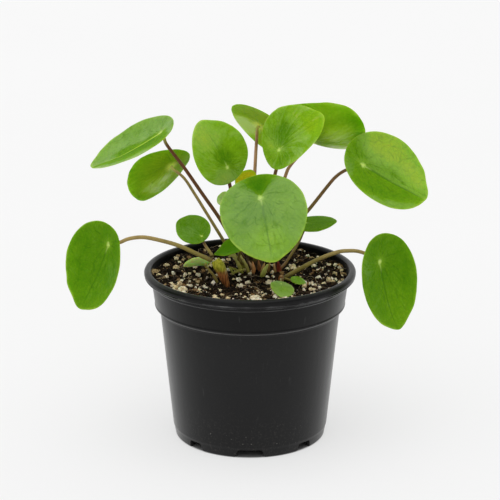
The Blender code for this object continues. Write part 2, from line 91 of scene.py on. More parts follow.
# Radius and height, from the middle of the floor up the inside and down the outside.
POT_PROFILE = [
    (0.0, FLOOR_TOP), (38.4, FLOOR_TOP), (39.6, 6.6), (45.9, 69.4), (48.6, 72.6),
    (50.1, 83.9), (51.5, 85.7), (51.6, 89.6), (51.8, 90.3), (52.4, 90.9), (53.2, POT_HEIGHT),
    (54.3, 90.8), (55.0, 90.3), (LIP_RADIUS, 89.5), (55.35, 88.3), (54.85, 87.75), (55.15, 87.4),
    (54.8, 86.9), (54.0, 86.5), (52.3, 86.2), (52.5, 85.5), (52.3, 84.6), (51.4, 83.9),
    (49.9, 72.9), (50.1, 72.4), (49.9, 71.7), (49.3, 71.1), (47.6, 70.2), (47.2, 69.0),
    (40.9, 6.0), (40.5, 4.6), (39.8, 0.7), (39.1, 0.0), (38.0, 0.0), (37.9, FLOOR_UNDER),
    (0.0, FLOOR_UNDER),
]


def add_object(name, data, collection=SCENE.collection):
    made = bpy.data.objects.new(name, data)
    collection.objects.link(made)
    return made


def mesh_from(name, work):
    """A plain mesh from bmesh work, which is freed."""
    mesh = bpy.data.meshes.new(name)
    work.to_mesh(mesh)
    work.free()
    return mesh


def face_outwards(mesh, weld=0.0):
    """Turn a closed mesh's faces outwards, with points nearer than the weld made one."""
    work = bmesh.new()
    work.from_mesh(mesh)
    if weld:
        bmesh.ops.remove_doubles(work, verts=work.verts, dist=weld)
    bmesh.ops.recalc_face_normals(work, faces=work.faces)
    work.to_mesh(mesh)
    work.free()
    return mesh


def settle(thing):
    """Keep what an object's modifiers make of it as its own plain mesh."""
    bpy.context.view_layer.update()
    evaluated = thing.evaluated_get(bpy.context.evaluated_depsgraph_get())
    made = bpy.data.meshes.new_from_object(evaluated)
    thing.modifiers.clear()
    thing.data = made
    return made


def clear_collection(collection):
    for used in list(collection.objects):
        bpy.data.objects.remove(used)
    bpy.data.collections.remove(collection)


def eased(points, reach):
    """The profile with each corner turned into a small curve between two support points."""
    path = [points[0]]
    for before, corner, after in zip(points, points[1:], points[2:]):
        corner = Vector(corner)
        back = Vector(before) - corner
        ahead = Vector(after) - corner
        near = min(reach, 0.3 * back.length, 0.3 * ahead.length)
        start = corner + near * back.normalized()
        finish = corner + near * ahead.normalized()
        path.append(corner + 1.5 * near * back.normalized())
        for t in (0.0, 0.33, 0.67, 1.0):
            path.append((1 - t) ** 2 * start + 2 * t * (1 - t) * corner + t * t * finish)
        path.append(corner + 1.5 * near * ahead.normalized())
    return [*path, points[-1]]


def turned_mesh(name, profile, steps):
    """Turn a profile of radius and height, in millimetres, once round the Z axis."""
    line = bpy.data.meshes.new(name)
    points = [(point[0] * MM, 0.0, point[1] * MM) for point in profile]
    line.from_pydata(points, [(i, i + 1) for i in range(len(points) - 1)], [])
    blank = add_object(name, line)
    screw = blank.modifiers.new("Turn", "SCREW")
    screw.axis = "Z"
    screw.steps = steps
    screw.render_steps = steps
    screw.use_merge_vertices = True
    screw.merge_threshold = 0.00001
    mesh = settle(blank)
    bpy.data.objects.remove(blank)
    return face_outwards(mesh, weld=0.000005)


def shade_round(thing, angle):
    thing.data.shade_smooth()
    thing.data.set_sharp_from_angle(angle=math.radians(angle))


def notch_cutter(turn, share):
    """A slanted-sided block that opens the foot's skirt, on the +X side before its turn."""
    work = bmesh.new()
    bmesh.ops.create_cube(work, size=1.0)
    for vert in work.verts:
        width, height = (NOTCH_TOP_WIDTH, NOTCH_HEIGHT) if vert.co.z > 0 else (NOTCH_FOOT_WIDTH, -1)
        vert.co = MM * Vector((SKIRT_RADIUS + vert.co.x * NOTCH_DEPTH, vert.co.y * width * share,
                               height))
    ends = [(edge, *(vert.co for vert in edge.verts)) for edge in work.edges]
    top = [edge for edge, a, b in ends
           if a.z > 0 and abs(a.z - b.z) < MM and abs(a.y - b.y) < MM]
    bmesh.ops.bevel(work, geom=top, offset=NOTCH_ROUND * MM, segments=3, affect="EDGES",
                    profile=0.5)
    work.transform(turn)
    return mesh_from("notch", work)


def drain_cutter(turn):
    work = bmesh.new()
    middle = Vector((DRAIN_CIRCLE, 0, (FLOOR_UNDER + FLOOR_TOP) / 2)) * MM
    bmesh.ops.create_cone(work, cap_ends=True, segments=32, radius1=DRAIN_RADIUS * MM,
                          radius2=DRAIN_RADIUS * MM, depth=DRAIN_DEPTH * MM,
                          matrix=turn @ Matrix.Translation(middle))
    return mesh_from("drain", work)


pot = add_object("nursery_pot", turned_mesh("pot", eased(POT_PROFILE, POT_EASE), POT_STEPS))
cutters = bpy.data.collections.new("pot_cutters")
SCENE.collection.children.link(cutters)
for i in range(OPENINGS):
    turn = Matrix.Rotation(i * 2 * math.pi / OPENINGS - math.pi / 2, 4, "Z")
    add_object("notch", notch_cutter(turn, NARROW_NOTCH if i % 2 else 1.0), cutters)
    add_object("drain", drain_cutter(turn), cutters)
cut = pot.modifiers.new("Openings", "BOOLEAN")
cut.operation = "DIFFERENCE"
cut.solver = "MANIFOLD"
cut.operand_type = "COLLECTION"
cut.collection = cutters
settle(pot)
clear_collection(cutters)
shade_round(pot, 38)


class Value:
    """A node's output that can stand in a Python expression: each operator adds a Math node."""

    def __init__(self, wiring, socket):
        self.wiring = wiring
        self.socket = socket

    def math(self, operation, *values):
        return self.wiring.node("ShaderNodeMath", dict(enumerate(values)), operation=operation)

    def __rsub__(self, other):
        return self.math("SUBTRACT", other, self)

    def __abs__(self):
        return self.math("ABSOLUTE", self)

    def rise(self, low, high):
        """0 below low and 1 above high, with a soft step between."""
        return self.wiring.node("ShaderNodeMapRange", {0: self, 1: low, 2: high},
                                interpolation_type="SMOOTHSTEP")

    def fall(self, low, high):
        return 1 - self.rise(low, high)

    def most(self, other):
        return self.math("MAXIMUM", self, other)


for operator, operation in (("__add__", "ADD"), ("__radd__", "ADD"), ("__sub__", "SUBTRACT"),
                            ("__mul__", "MULTIPLY"), ("__rmul__", "MULTIPLY"),
                            ("__truediv__", "DIVIDE"), ("__pow__", "POWER")):
    setattr(Value, operator, lambda self, other, kind=operation: self.math(kind, self, other))


class Wiring:
    """Adds nodes to a tree, one call a node: its type, its sockets, then its settings."""

    def __init__(self, tree):
        self.tree = tree

    def node(self, kind, sockets=None, output=0, **settings):
        made = self.tree.nodes.new(kind)
        for name, value in settings.items():
            setattr(made, name, value)
        for name, value in (sockets or {}).items():
            self.feed(made.inputs[name], value)
        return Value(self, made.outputs[output])

    def feed(self, socket, value):
        if isinstance(value, Value):
            self.tree.links.new(value.socket, socket)
        elif socket.type == "RGBA":
            socket.default_value = (*value, 1.0)
        else:
            socket.default_value = value

    def vector(self, x, y, z):
        return self.node("ShaderNodeCombineXYZ", {0: x, 1: y, 2: z})

    def axes(self, vector):
        split = self.node("ShaderNodeSeparateXYZ", {0: vector}).socket.node
        return [Value(self, split.outputs[i]) for i in range(3)]


class Finish(Wiring):
    """A material with a Principled shader, whose sockets and patterns are set by calls."""

    def __init__(self, name, **constants):
        self.material = bpy.data.materials.new(name)
        self.material.use_nodes = True
        super().__init__(self.material.node_tree)
        self.shader = self.tree.nodes["Principled BSDF"]
        for key, value in constants.items():
            self.set(key.replace("_", " "), value)

    def set(self, name, value):
        self.feed(self.shader.inputs[name], value)

    def place(self):
        """The point on the piece, in metres, as a vector."""
        return self.node("ShaderNodeTexCoord", output=3)

    def attribute(self, name):
        return self.node("ShaderNodeAttribute", output=2, attribute_name=name)

    def noise(self, vector, scale, detail=3.0, roughness=0.55, output=0):
        return self.node("ShaderNodeTexNoise", {
            "Vector": vector, "Scale": scale, "Detail": detail, "Roughness": roughness}, output)

    def upright_noise(self, vector, squeeze, scale, detail, roughness=0.55):
        """A noise drawn out along the height: the squeeze is the height's share."""
        vector = self.node("ShaderNodeMapping", {"Vector": vector, "Scale": (1.0, 1.0, squeeze)})
        return self.noise(vector, scale, detail, roughness)

    def paint(self, color, *coats):
        """A colour under coats of other colours, each after its share from 0 to 1."""
        for share, coat in coats:
            color = self.node("ShaderNodeMix", {0: share, 6: color, 7: coat}, 2, data_type="RGBA")
        return color

    def done(self, color, roughness, relief=None, depth=0.0, strength=0.0):
        """Set the skin's colour, roughness and relief, in metres, and give the material."""
        self.set("Base Color", color)
        self.set("Roughness", roughness)
        if relief:
            self.set("Normal", self.node("ShaderNodeBump", {
                "Height": relief, "Distance": depth, "Strength": strength}))
        return self.material


# The lip's polished lines: height, half widths of the bright core and of its fade, and share.
LIP_LINES = [(87.5, 0.1, 0.5, 1.0), (85.7, 0.1, 0.4, 1.0), (83.9, 0.0, 0.3, 0.4)]


def pot_finish(name, bloom):
    """Satin black plastic, faintly clouded, with handling scuffs and dust low on the wall, and
    painted shade from the band up.
    """
    finish = Finish(name, Specular_IOR_Level=0.17, Sheen_Weight=bloom, Sheen_Roughness=0.36,
                    Coat_IOR=1.9, Coat_Roughness=0.14)
    place = finish.place()
    height = finish.axes(place)[2]
    cloud = finish.noise(place, 35.0, 4.0)
    grain = finish.noise(place, 2600.0, 2.0)
    scuff = finish.upright_noise(place, 0.16, 420.0, 5.0, 0.6)
    patch = finish.noise(place, 60.0, 3.0)
    worn = scuff.rise(0.60, 0.74) * patch.rise(0.48, 0.66)
    low = height.fall(0.002, 0.03)
    dust = finish.noise(place, 900.0, 4.0, 0.7).rise(0.52, 0.72) * (0.15 + 0.85 * low)
    # From the band up, lip included, the colour is painted darker: a painted shade.
    band = height.rise((BAND_FOOT - 1) * MM, (BAND_FOOT + 1) * MM)
    speck = finish.noise(place, 700.0, 1.0).rise(0.755, 0.79) * height.fall(0.006, 0.022)
    color = finish.paint(
        (0.0065, 0.0065, 0.0068), (cloud, (0.0115, 0.0115, 0.0119)),
        (band * 0.85, (0.0008, 0.0008, 0.0009)), (worn * 0.30, (0.09, 0.09, 0.088)),
        (dust * 0.24, (0.13, 0.12, 0.105)), (speck * 0.6, (0.26, 0.25, 0.23)))
    lines = [abs(height - middle * MM).fall(core * MM, fade * MM) * share
             for middle, core, fade, share in LIP_LINES]
    polish = lines[0].most(lines[1]).most(lines[2])
    finish.set("Coat Weight", polish * (0.1 + 0.6 * patch.rise(0.45, 0.6)))
    ripple = finish.upright_noise(place, 0.25, 90.0, 2.0)
    return finish.done(color, 0.26 + 0.16 * cloud + 0.18 * worn + 0.2 * dust,
                       grain * 0.12 + ripple * 0.9 + scuff * 0.15, 0.00025, 0.55)


pot.data.materials.clear()
pot.data.materials.append(pot_finish("black_nursery_plastic", WALL_BLOOM))
pot.data.materials.append(pot_finish("handled_lip_plastic", LIP_BLOOM))
for face in pot.data.polygons:
    face.material_index = 1 if face.center.z > LIP_FOOT * MM else 0
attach(pot, "root")
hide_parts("pot")


# The potting mix
# A filling of moist peat and composted bark, pressed to the pot's wall and mounded a little
# towards the stem. Its rough dark skin carries the loose grains made below.
MIX_EDGE_HEIGHT = 87.0
MIX_MOUND = 0.6
MIX_RELIEF = 0.7
MIX_EDGE_RADIUS = 51.2
MIX_RINGS = 60
MIX_STEPS = 200
MIX_SIDE = [(50.8, 85.2), (49.8, 84.2), (48.3, 72.9), (45.6, 69.7), (39.3, 6.9), (38.1, 5.5),
            (0.0, 5.5)]


def mix_height(x, y):
    """Height of the mix's surface, in millimetres: a low mound with a rough skin."""
    share = min(1.0, math.hypot(x, y) / MIX_EDGE_RADIUS)
    rough = noise.noise(Vector((x * 0.11, y * 0.11, 3.7)))
    return MIX_EDGE_HEIGHT + MIX_MOUND * (1 - share ** 2) + MIX_RELIEF * rough


def clod_height(x, y):
    """What the clods add to the smooth surface, in millimetres."""
    clods = noise.noise(Vector((x * 0.33, y * 0.33, 8.1)))
    crumbs = noise.noise(Vector((x * 0.9, y * 0.9, 1.3)))
    return 0.75 * clods + 0.4 * crumbs - 0.15


def mix_mesh():
    rings = [(MIX_EDGE_RADIUS * i / MIX_RINGS, MIX_EDGE_HEIGHT) for i in range(MIX_RINGS + 1)]
    mesh = turned_mesh("potting_mix", [*rings, *MIX_SIDE], MIX_STEPS)
    for vert in mesh.vertices:
        if vert.co.z > (MIX_EDGE_HEIGHT - 0.1) * MM:
            x, y = vert.co.x / MM, vert.co.y / MM
            vert.co.z = (mix_height(x, y) + clod_height(x, y)) * MM
    return mesh


def mix_finish():
    """Moist peat: near black in the hollows, dark brown on the clods."""
    finish = Finish("moist_peat", Specular_IOR_Level=0.08)
    place = finish.place()
    clod = finish.noise(place, 450.0, 6.0, 0.65)
    fleck = finish.noise(place, 1500.0, 4.0, 0.7)
    color = finish.paint(
        (0.004, 0.003, 0.0025), (clod.rise(0.38, 0.66), (0.022, 0.014, 0.008)),
        (fleck.rise(0.62, 0.72) * 0.6, (0.15, 0.09, 0.04)))
    return finish.done(color, 0.75 + 0.2 * fleck, clod * 0.8 + fleck * 0.5, 0.0009, 0.9)


mix = add_object("potting_mix", mix_mesh())
mix.data.materials.append(mix_finish())
shade_round(mix, 60)
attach(mix, "root")
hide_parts("soil")


# The loose grains
# Perlite, bark chips, peat crumbs and root fibres lie scattered on the mix. Each kind is a few
# shaped pieces, scattered over a copy of the mix's surface and kept off the stems.
GRAIN_REACH = 50.3
BARK_COLORS = [(0.0, (0.005, 0.003, 0.002)), (0.6, (0.016, 0.009, 0.005)),
               (0.8, (0.08, 0.042, 0.017)), (0.92, (0.27, 0.155, 0.06)), (1.0, (0.40, 0.29, 0.15))]
STEM_SPOTS = [(2.5, 10.0, 5.2), (16.4, -11.3, 2.4), (-11.8, -20.3, 2.0), (15.4, 4.7, 1.4),
              (-17.0, -14.3, 1.3)]


def note_points(mesh, **columns):
    """Keep named values for a mesh's points, in the points' order."""
    for name, values in columns.items():
        mesh.attributes.new(name, "FLOAT", "POINT").data.foreach_set("value", values)


def ground_mesh():
    """The mix's top as an open sheet that knows where grains may lie."""
    work = bmesh.new()
    bmesh.ops.create_grid(work, x_segments=70, y_segments=70, size=GRAIN_REACH * MM)
    for vert in work.verts:
        reach = max(abs(vert.co.x), abs(vert.co.y))
        vert.co *= reach / max(vert.co.length, 1e-9)
        x, y = vert.co.x / MM, vert.co.y / MM
        vert.co.z = (mix_height(x, y) + 0.6 * clod_height(x, y)) * MM
    bmesh.ops.recalc_face_normals(work, faces=work.faces)
    if sum(face.normal.z for face in work.faces) < 0:
        bmesh.ops.reverse_faces(work, faces=work.faces)
    mesh = mesh_from("ground", work)
    bare, rimward = [], []
    for vert in mesh.vertices:
        x, y = vert.co.x / MM, vert.co.y / MM
        gaps = [math.hypot(x - px, y - py) - radius for px, py, radius in STEM_SPOTS]
        bare.append(min(1.0, max(0.0, min(gaps))))
        patch = 0.75 + 0.9 * noise.noise(Vector((x * 0.07, y * 0.07, 5.0)))
        rim = (math.hypot(x, y) / GRAIN_REACH) ** 1.5
        rear = 1 - 0.65 * min(1.0, max(0.0, (y - 5) / 30))
        rimward.append(bare[-1] * (rear * max(0.12, patch * (0.35 + 0.8 * rim))))
    note_points(mesh, open_ground=bare, rimward=rimward)
    return mesh


def rough_ball(name, subdivisions, stretch, relief, seed):
    work = bmesh.new()
    bmesh.ops.create_icosphere(work, subdivisions=subdivisions, radius=1.0)
    for vert in work.verts:
        lump = noise.noise(vert.co * 1.3 + Vector((seed * 7.1, seed * 3.3, 0)))
        vert.co *= 1.0 + relief * lump
        vert.co = Vector(a * b for a, b in zip(vert.co, stretch))
    return mesh_from(name, work)


def chip_mesh(name, length, width, thickness, seed):
    """A torn flake of bark: a low block with its corners and edges pushed about."""
    work = bmesh.new()
    bmesh.ops.create_cube(work, size=2.0)
    bmesh.ops.subdivide_edges(work, edges=work.edges, cuts=1, use_grid_fill=True)
    for vert in work.verts:
        push = noise.noise_vector(vert.co * 0.9 + Vector((seed * 5.3, 0, seed * 2.1)))
        vert.co = vert.co * 0.85 + 0.55 * push
        vert.co = Vector((vert.co.x * length, vert.co.y * width, vert.co.z * thickness))
    return mesh_from(name, work)


def hair_mesh(name, bend, seed):
    """A curled root hair: a thin three-sided tube."""
    work = bmesh.new()
    rows = []
    for i in range(9):
        t = i / 8
        centre = Vector((t * 2 - 1, bend * math.sin(2.6 * t + seed), 0.35 * math.sin(3 * t)))
        rows.append([work.verts.new(centre + 0.045 * Vector((0, math.cos(a), math.sin(a))))
                     for a in (0.0, 2.1, 4.2)])
    for low, high in zip(rows, rows[1:]):
        for k in range(3):
            work.faces.new((low[k], low[k - 2], high[k - 2], high[k]))
    work.faces.new(rows[0])
    work.faces.new(reversed(rows[-1]))
    bmesh.ops.recalc_face_normals(work, faces=work.faces)
    return mesh_from(name, work)


def node_group(name, **inputs):
    """A new Geometry Nodes tree with these inputs: what adds its nodes, and the inputs' values."""
    tree = bpy.data.node_groups.new(name, "GeometryNodeTree")
    for label, kind in inputs.items():
        tree.interface.new_socket(label, in_out="INPUT", socket_type="NodeSocket" + kind)
    tree.interface.new_socket("made", in_out="OUTPUT", socket_type="NodeSocketGeometry")
    wiring = Wiring(tree)
    given = tree.nodes.new("NodeGroupInput")
    return wiring, [Value(wiring, given.outputs[label]) for label in inputs]


def end_group(wiring, made, finish):
    made = wiring.node("GeometryNodeSetMaterial", {"Geometry": made, "Material": finish})
    wiring.feed(wiring.tree.nodes.new("NodeGroupOutput").inputs["made"], made)
    return wiring.tree


def run_nodes(thing, tree, values):
    """Keep what a Geometry Nodes tree makes of an object, with these values on its inputs."""
    modifier = thing.modifiers.new("Nodes", "NODES")
    modifier.node_group = tree
    for item in tree.interface.items_tree:
        if item.item_type == "SOCKET" and item.in_out == "INPUT" and item.name in values:
            modifier[item.identifier] = values[item.name]
    settle(thing)


def scatter_tree():
    """Geometry Nodes that scatter a collection's pieces over a surface."""
    wiring, given = node_group(
        "scatter_grains", surface="Geometry", pieces="Collection", where="String",
        per_square_metre="Float", smallest="Float", largest="Float", favour_small="Float",
        lift="Float", tilt="Float", seed="Int", finish="Material")
    surface, pieces, where, density, smallest, largest, favour, lift, tilt, seed, finish = given
    share = wiring.node("GeometryNodeInputNamedAttribute", {"Name": where}, data_type="FLOAT")
    points = wiring.node("GeometryNodeDistributePointsOnFaces", {
        "Mesh": surface, "Density": share * density, "Seed": seed})
    points = wiring.node("GeometryNodeSetPosition", {
        "Geometry": points, "Offset": wiring.vector(0.0, 0.0, lift)})
    draw, tone = (wiring.node("FunctionNodeRandomValue", {"Seed": seed + step}, output=1,
                              data_type="FLOAT") for step in (1, 3))
    turn = wiring.node("FunctionNodeRandomValue", {
        0: wiring.vector(0 - tilt, 0 - tilt, 0.0), 1: wiring.vector(tilt, tilt, 2 * math.pi),
        "Seed": seed + 2}, data_type="FLOAT_VECTOR")
    pieces = wiring.node("GeometryNodeCollectionInfo", {
        "Collection": pieces, "Separate Children": True, "Reset Children": True})
    grains = wiring.node("GeometryNodeInstanceOnPoints", {
        "Points": points, "Instance": pieces, "Pick Instance": True, "Rotation": turn,
        "Scale": smallest + (largest - smallest) * draw ** favour})
    grains = wiring.node("GeometryNodeStoreNamedAttribute", {
        "Geometry": grains, "Name": "tone", "Value": tone}, data_type="FLOAT", domain="INSTANCE")
    grains = wiring.node("GeometryNodeRealizeInstances", {"Geometry": grains})
    return end_group(wiring, grains, finish)


def scatter(name, shapes, **values):
    """One plain mesh of every grain of a kind."""
    collection = bpy.data.collections.new(name + "_shapes")
    for shape in shapes:
        add_object(shape.name, shape, collection)
    grains = add_object(name, ground_mesh())
    run_nodes(grains, scatter_grains, {**values, "pieces": collection})
    clear_collection(collection)
    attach(grains, "root")


def perlite_finish():
    """Puffed volcanic glass: chalky cream-white, stained brown in patches, and dark brown where its
    relief dips.
    """
    finish = Finish("perlite", Subsurface_Weight=0.1, Subsurface_Scale=0.0006)
    place = finish.place()
    tone = finish.attribute("tone")
    pits = finish.noise(place, 1300.0, 4.0, 0.65)
    stain = finish.noise(place, 500.0, 3.0)
    color = finish.paint(
        (0.72, 0.57, 0.30), (tone, (0.96, 0.90, 0.72)),
        (stain.rise(0.54, 0.7) * 0.6, (0.38, 0.25, 0.11)),
        (pits.fall(0.34, 0.46) * 0.7, (0.16, 0.11, 0.07)))
    return finish.done(color, 0.8 + 0.1 * pits, pits, 0.0005, 0.8)


def bark_finish():
    """Composted bark: from near black through red-brown to a few orange flakes."""
    finish = Finish("bark_chips", Specular_IOR_Level=0.08)
    place = finish.place()
    left = finish.axes(place)[0].fall(-0.030, -0.005)
    tone = finish.attribute("tone") + 0.16 * left
    grained = finish.node("ShaderNodeMapping", {"Vector": place, "Scale": (1.0, 0.3, 1.0)})
    fibre = finish.noise(grained, 1400.0, 4.0, 0.6)
    color = finish.node("ShaderNodeValToRGB", {"Fac": tone})
    stops = color.socket.node.color_ramp.elements
    while len(stops) < len(BARK_COLORS):
        stops.new(0.5)
    for stop, (position, rgb) in zip(stops, BARK_COLORS):
        stop.position = position
        stop.color = (*rgb, 1.0)
    color = finish.paint(color, (fibre.rise(0.45, 0.7) * 0.6, (0.02, 0.012, 0.008)))
    return finish.done(color, 0.72 + 0.2 * fibre, fibre, 0.0004, 0.8)


def crumb_finish():
    finish = Finish("peat_crumbs", Specular_IOR_Level=0.08)
    tone = finish.attribute("tone")
    fleck = finish.noise(finish.place(), 1800.0, 3.0)
    color = finish.paint(
        (0.005, 0.0035, 0.0025), (tone ** 3.0, (0.060, 0.036, 0.017)),
        (fleck.rise(0.6, 0.7) * 0.5, (0.14, 0.09, 0.045)))
    return finish.done(color, 0.8 + 0.15 * fleck, fleck, 0.0004, 0.7)


def hair_finish():
    finish = Finish("root_hairs", Specular_IOR_Level=0.2)
    tone = finish.attribute("tone")
    fibre = finish.noise(finish.place(), 2500.0, 2.0)
    color = finish.paint((0.10, 0.055, 0.03), (tone, (0.50, 0.41, 0.28)),
                         (fibre * 0.4, (0.12, 0.08, 0.05)))
    return finish.done(color, 0.7 + 0.2 * fibre)


scatter_grains = scatter_tree()
scatter("peat_crumbs",
        [rough_ball(f"crumb_{i}", 1, (1, 0.8, 0.7), 0.9, i + 20) for i in range(5)],
        where="open_ground", per_square_metre=620000.0, smallest=0.0004, largest=0.0013,
        favour_small=1.6, lift=0.0001, tilt=3.0, seed=5, finish=crumb_finish())
scatter("bark_chips",
        [chip_mesh(f"chip_{i}", 1.0, 0.35 + 0.09 * i, 0.16 + 0.04 * i, i + 3) for i in range(6)],
        where="open_ground", per_square_metre=130000.0, smallest=0.0004, largest=0.0022,
        favour_small=2.0, lift=0.0004, tilt=0.55, seed=9, finish=bark_finish())
scatter("perlite_grains",
        [rough_ball(f"perlite_{i}", 2, (1, 0.92 - 0.05 * i, 0.85), 0.55, i) for i in range(6)],
        where="rimward", per_square_metre=85000.0, smallest=0.0003, largest=0.0019,
        favour_small=1.7, lift=0.0004, tilt=1.5, seed=14, finish=perlite_finish())
scatter("root_hairs",
        [hair_mesh(f"hair_{i}", 0.25 + 0.12 * i, i * 1.7) for i in range(4)],
        where="open_ground", per_square_metre=22000.0, smallest=0.0013, largest=0.0033,
        favour_small=1.2, lift=0.0009, tilt=0.4, seed=21, finish=hair_finish())


# The stems
# The old stem is a stump with the rings that fallen leaves left. Two plantlets stand beside
# it: the left one is green above and wrapped in a papery red-brown sheath below.
MAIN_STEM = Vector((2.5, 10.0))
MAIN_STEM_PROFILE = [
    (0.0, 105.0), (0.9, 104.0), (2.2, 101.0), (3.9, 100.0), (4.4, 98.5), (4.1, 96.5),
    (4.5, 95.3), (4.1, 93.2), (4.5, 92.0), (4.1, 90.0), (4.5, 88.8), (4.5, 81.3), (0.0, 81.3),
]
RIGHT_STEM = Vector((16.4, -11.3))
RIGHT_STEM_PROFILE = [(0.0, 90.8), (1.0, 90.4), (1.6, 89.4), (1.9, 81.3), (0.0, 81.3)]
LEFT_STEM = [           # x, y, z and radius, from the foot up
    (-11.8, -20.3, 81.3, 1.4), (-11.8, -20.3, 87.6, 1.4), (-13.1, -19.8, 91.0, 2.2),
    (-14.5, -19.2, 95.0, 2.7), (-16.4, -18.7, 98.8, 3.0), (-17.9, -18.3, 100.9, 2.3),
]


def smooth_path(points, steps):
    """Points along a curve through every given point, with its last stretch straight."""
    ends = [points[0] * 2 - points[1], *points]
    path = []
    for i in range(1, len(ends) - 2):
        before, start, finish, after = ends[i - 1:i + 3]
        for k in range(steps):
            t = k / steps
            path.append(0.5 * (2 * start + (finish - before) * t
                               + (2 * before - 5 * start + 4 * finish - after) * t ** 2
                               + (3 * start - before - 3 * finish + after) * t ** 3))
    return [*path, *points[-2:]]


def smooth_radii(radii, steps):
    return [point.x for point in smooth_path([Vector((radius, 0, 0)) for radius in radii], steps)]


def tube_tree():
    """Geometry Nodes that thicken a line of points into a round stalk with closed ends."""
    wiring, (line, sides, finish) = node_group("grow_stalk", line="Geometry", sides="Int",
                                               finish="Material")
    radius = wiring.node("GeometryNodeInputNamedAttribute", {"Name": "thickness"},
                         data_type="FLOAT")
    curve = wiring.node("GeometryNodeMeshToCurve", {"Mesh": line})
    along = wiring.node("GeometryNodeSplineParameter")
    curve = wiring.node("GeometryNodeStoreNamedAttribute", {
        "Geometry": curve, "Name": "rise", "Value": along}, data_type="FLOAT")
    ring = wiring.node("GeometryNodeCurvePrimitiveCircle", {"Resolution": sides, "Radius": 1.0})
    stalk = wiring.node("GeometryNodeCurveToMesh", {
        "Curve": curve, "Profile Curve": ring, "Scale": radius, "Fill Caps": True})
    stalk = wiring.node("GeometryNodeMergeByDistance", {"Geometry": stalk, "Distance": 0.00001})
    return end_group(wiring, stalk, finish)


def grow(name, path, radii, sides, finish):
    """A stalk along a path, in millimetres, with a radius at each of its points."""
    line = bpy.data.meshes.new(name)
    line.from_pydata([point * MM for point in path], [(i, i + 1) for i in range(len(path) - 1)], [])
    note_points(line, thickness=[radius * MM for radius in radii])
    stalk = add_object(name, line)
    run_nodes(stalk, grow_stalk, {"sides": sides, "finish": finish})
    face_outwards(stalk.data)
    shade_round(stalk, 60)
    return stalk


def old_stem_finish():
    """Corky brown skin, green where it still grows."""
    finish = Finish("corky_stem")
    place = finish.place()
    height = finish.axes(place)[2]
    cork = finish.upright_noise(place, 0.5, 700.0, 5.0, 0.6)
    young = height.rise(0.098, 0.104)
    color = finish.paint(
        (0.030, 0.016, 0.008), (cork.rise(0.35, 0.65), (0.16, 0.085, 0.035)),
        (young * 0.8, (0.14, 0.17, 0.03)))
    return finish.done(color, 0.7 - 0.2 * young, cork, 0.0008, 0.8)


def plantlet_finish():
    """Papery red-brown sheath at the foot, smooth green above it."""
    finish = Finish("plantlet_stem", Specular_IOR_Level=0.15)
    place = finish.place()
    height = finish.axes(place)[2]
    fibre = finish.upright_noise(place, 0.2, 1300.0, 3.0)
    streak = finish.upright_noise(place, 0.15, 420.0, 2.0)
    pale = fibre.rise(0.35, 0.65)
    skin = finish.paint((0.24, 0.26, 0.012), (pale, (0.46, 0.42, 0.04)))
    green = (height + 0.004 * finish.noise(place, 380.0, 2.0)).rise(0.0962, 0.1002)
    color = finish.paint((0.10, 0.030, 0.008), (pale, (0.34, 0.13, 0.035)),
                         (streak.rise(0.6, 0.68), (0.42, 0.30, 0.14)), (green, skin))
    return finish.done(color, 0.6 - 0.15 * green, fibre, 0.0003, 0.7)


def turned_stem(name, profile, ease, steps, place, finish):
    stem = add_object(name, turned_mesh(name, eased(profile, ease), steps))
    stem.data.transform(Matrix.Translation((place * MM).to_3d()))
    stem.data.materials.append(finish)
    return stem


def add_stem(stem, node):
    shade_round(stem, 60)
    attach(stem, "root")
    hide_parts(node)


grow_stalk = tube_tree()
old_stem = turned_stem("old_stem", MAIN_STEM_PROFILE, 0.5, 48, MAIN_STEM, old_stem_finish())
for vert in old_stem.data.vertices:
    vert.co += 0.0004 * noise.noise_vector(vert.co * 400)
add_stem(old_stem, "main_stem")
add_stem(turned_stem("right_plantlet_stem", RIGHT_STEM_PROFILE, 0.3, 32, RIGHT_STEM,
                     plantlet_finish()), "offset_stem_right")
left_path = smooth_path([Vector(row[:3]) for row in LEFT_STEM], 6)
left_radii = smooth_radii([row[3] for row in LEFT_STEM], 6)
add_stem(grow("left_plantlet_stem", left_path, left_radii, 28, plantlet_finish()),
         "offset_stem_left")


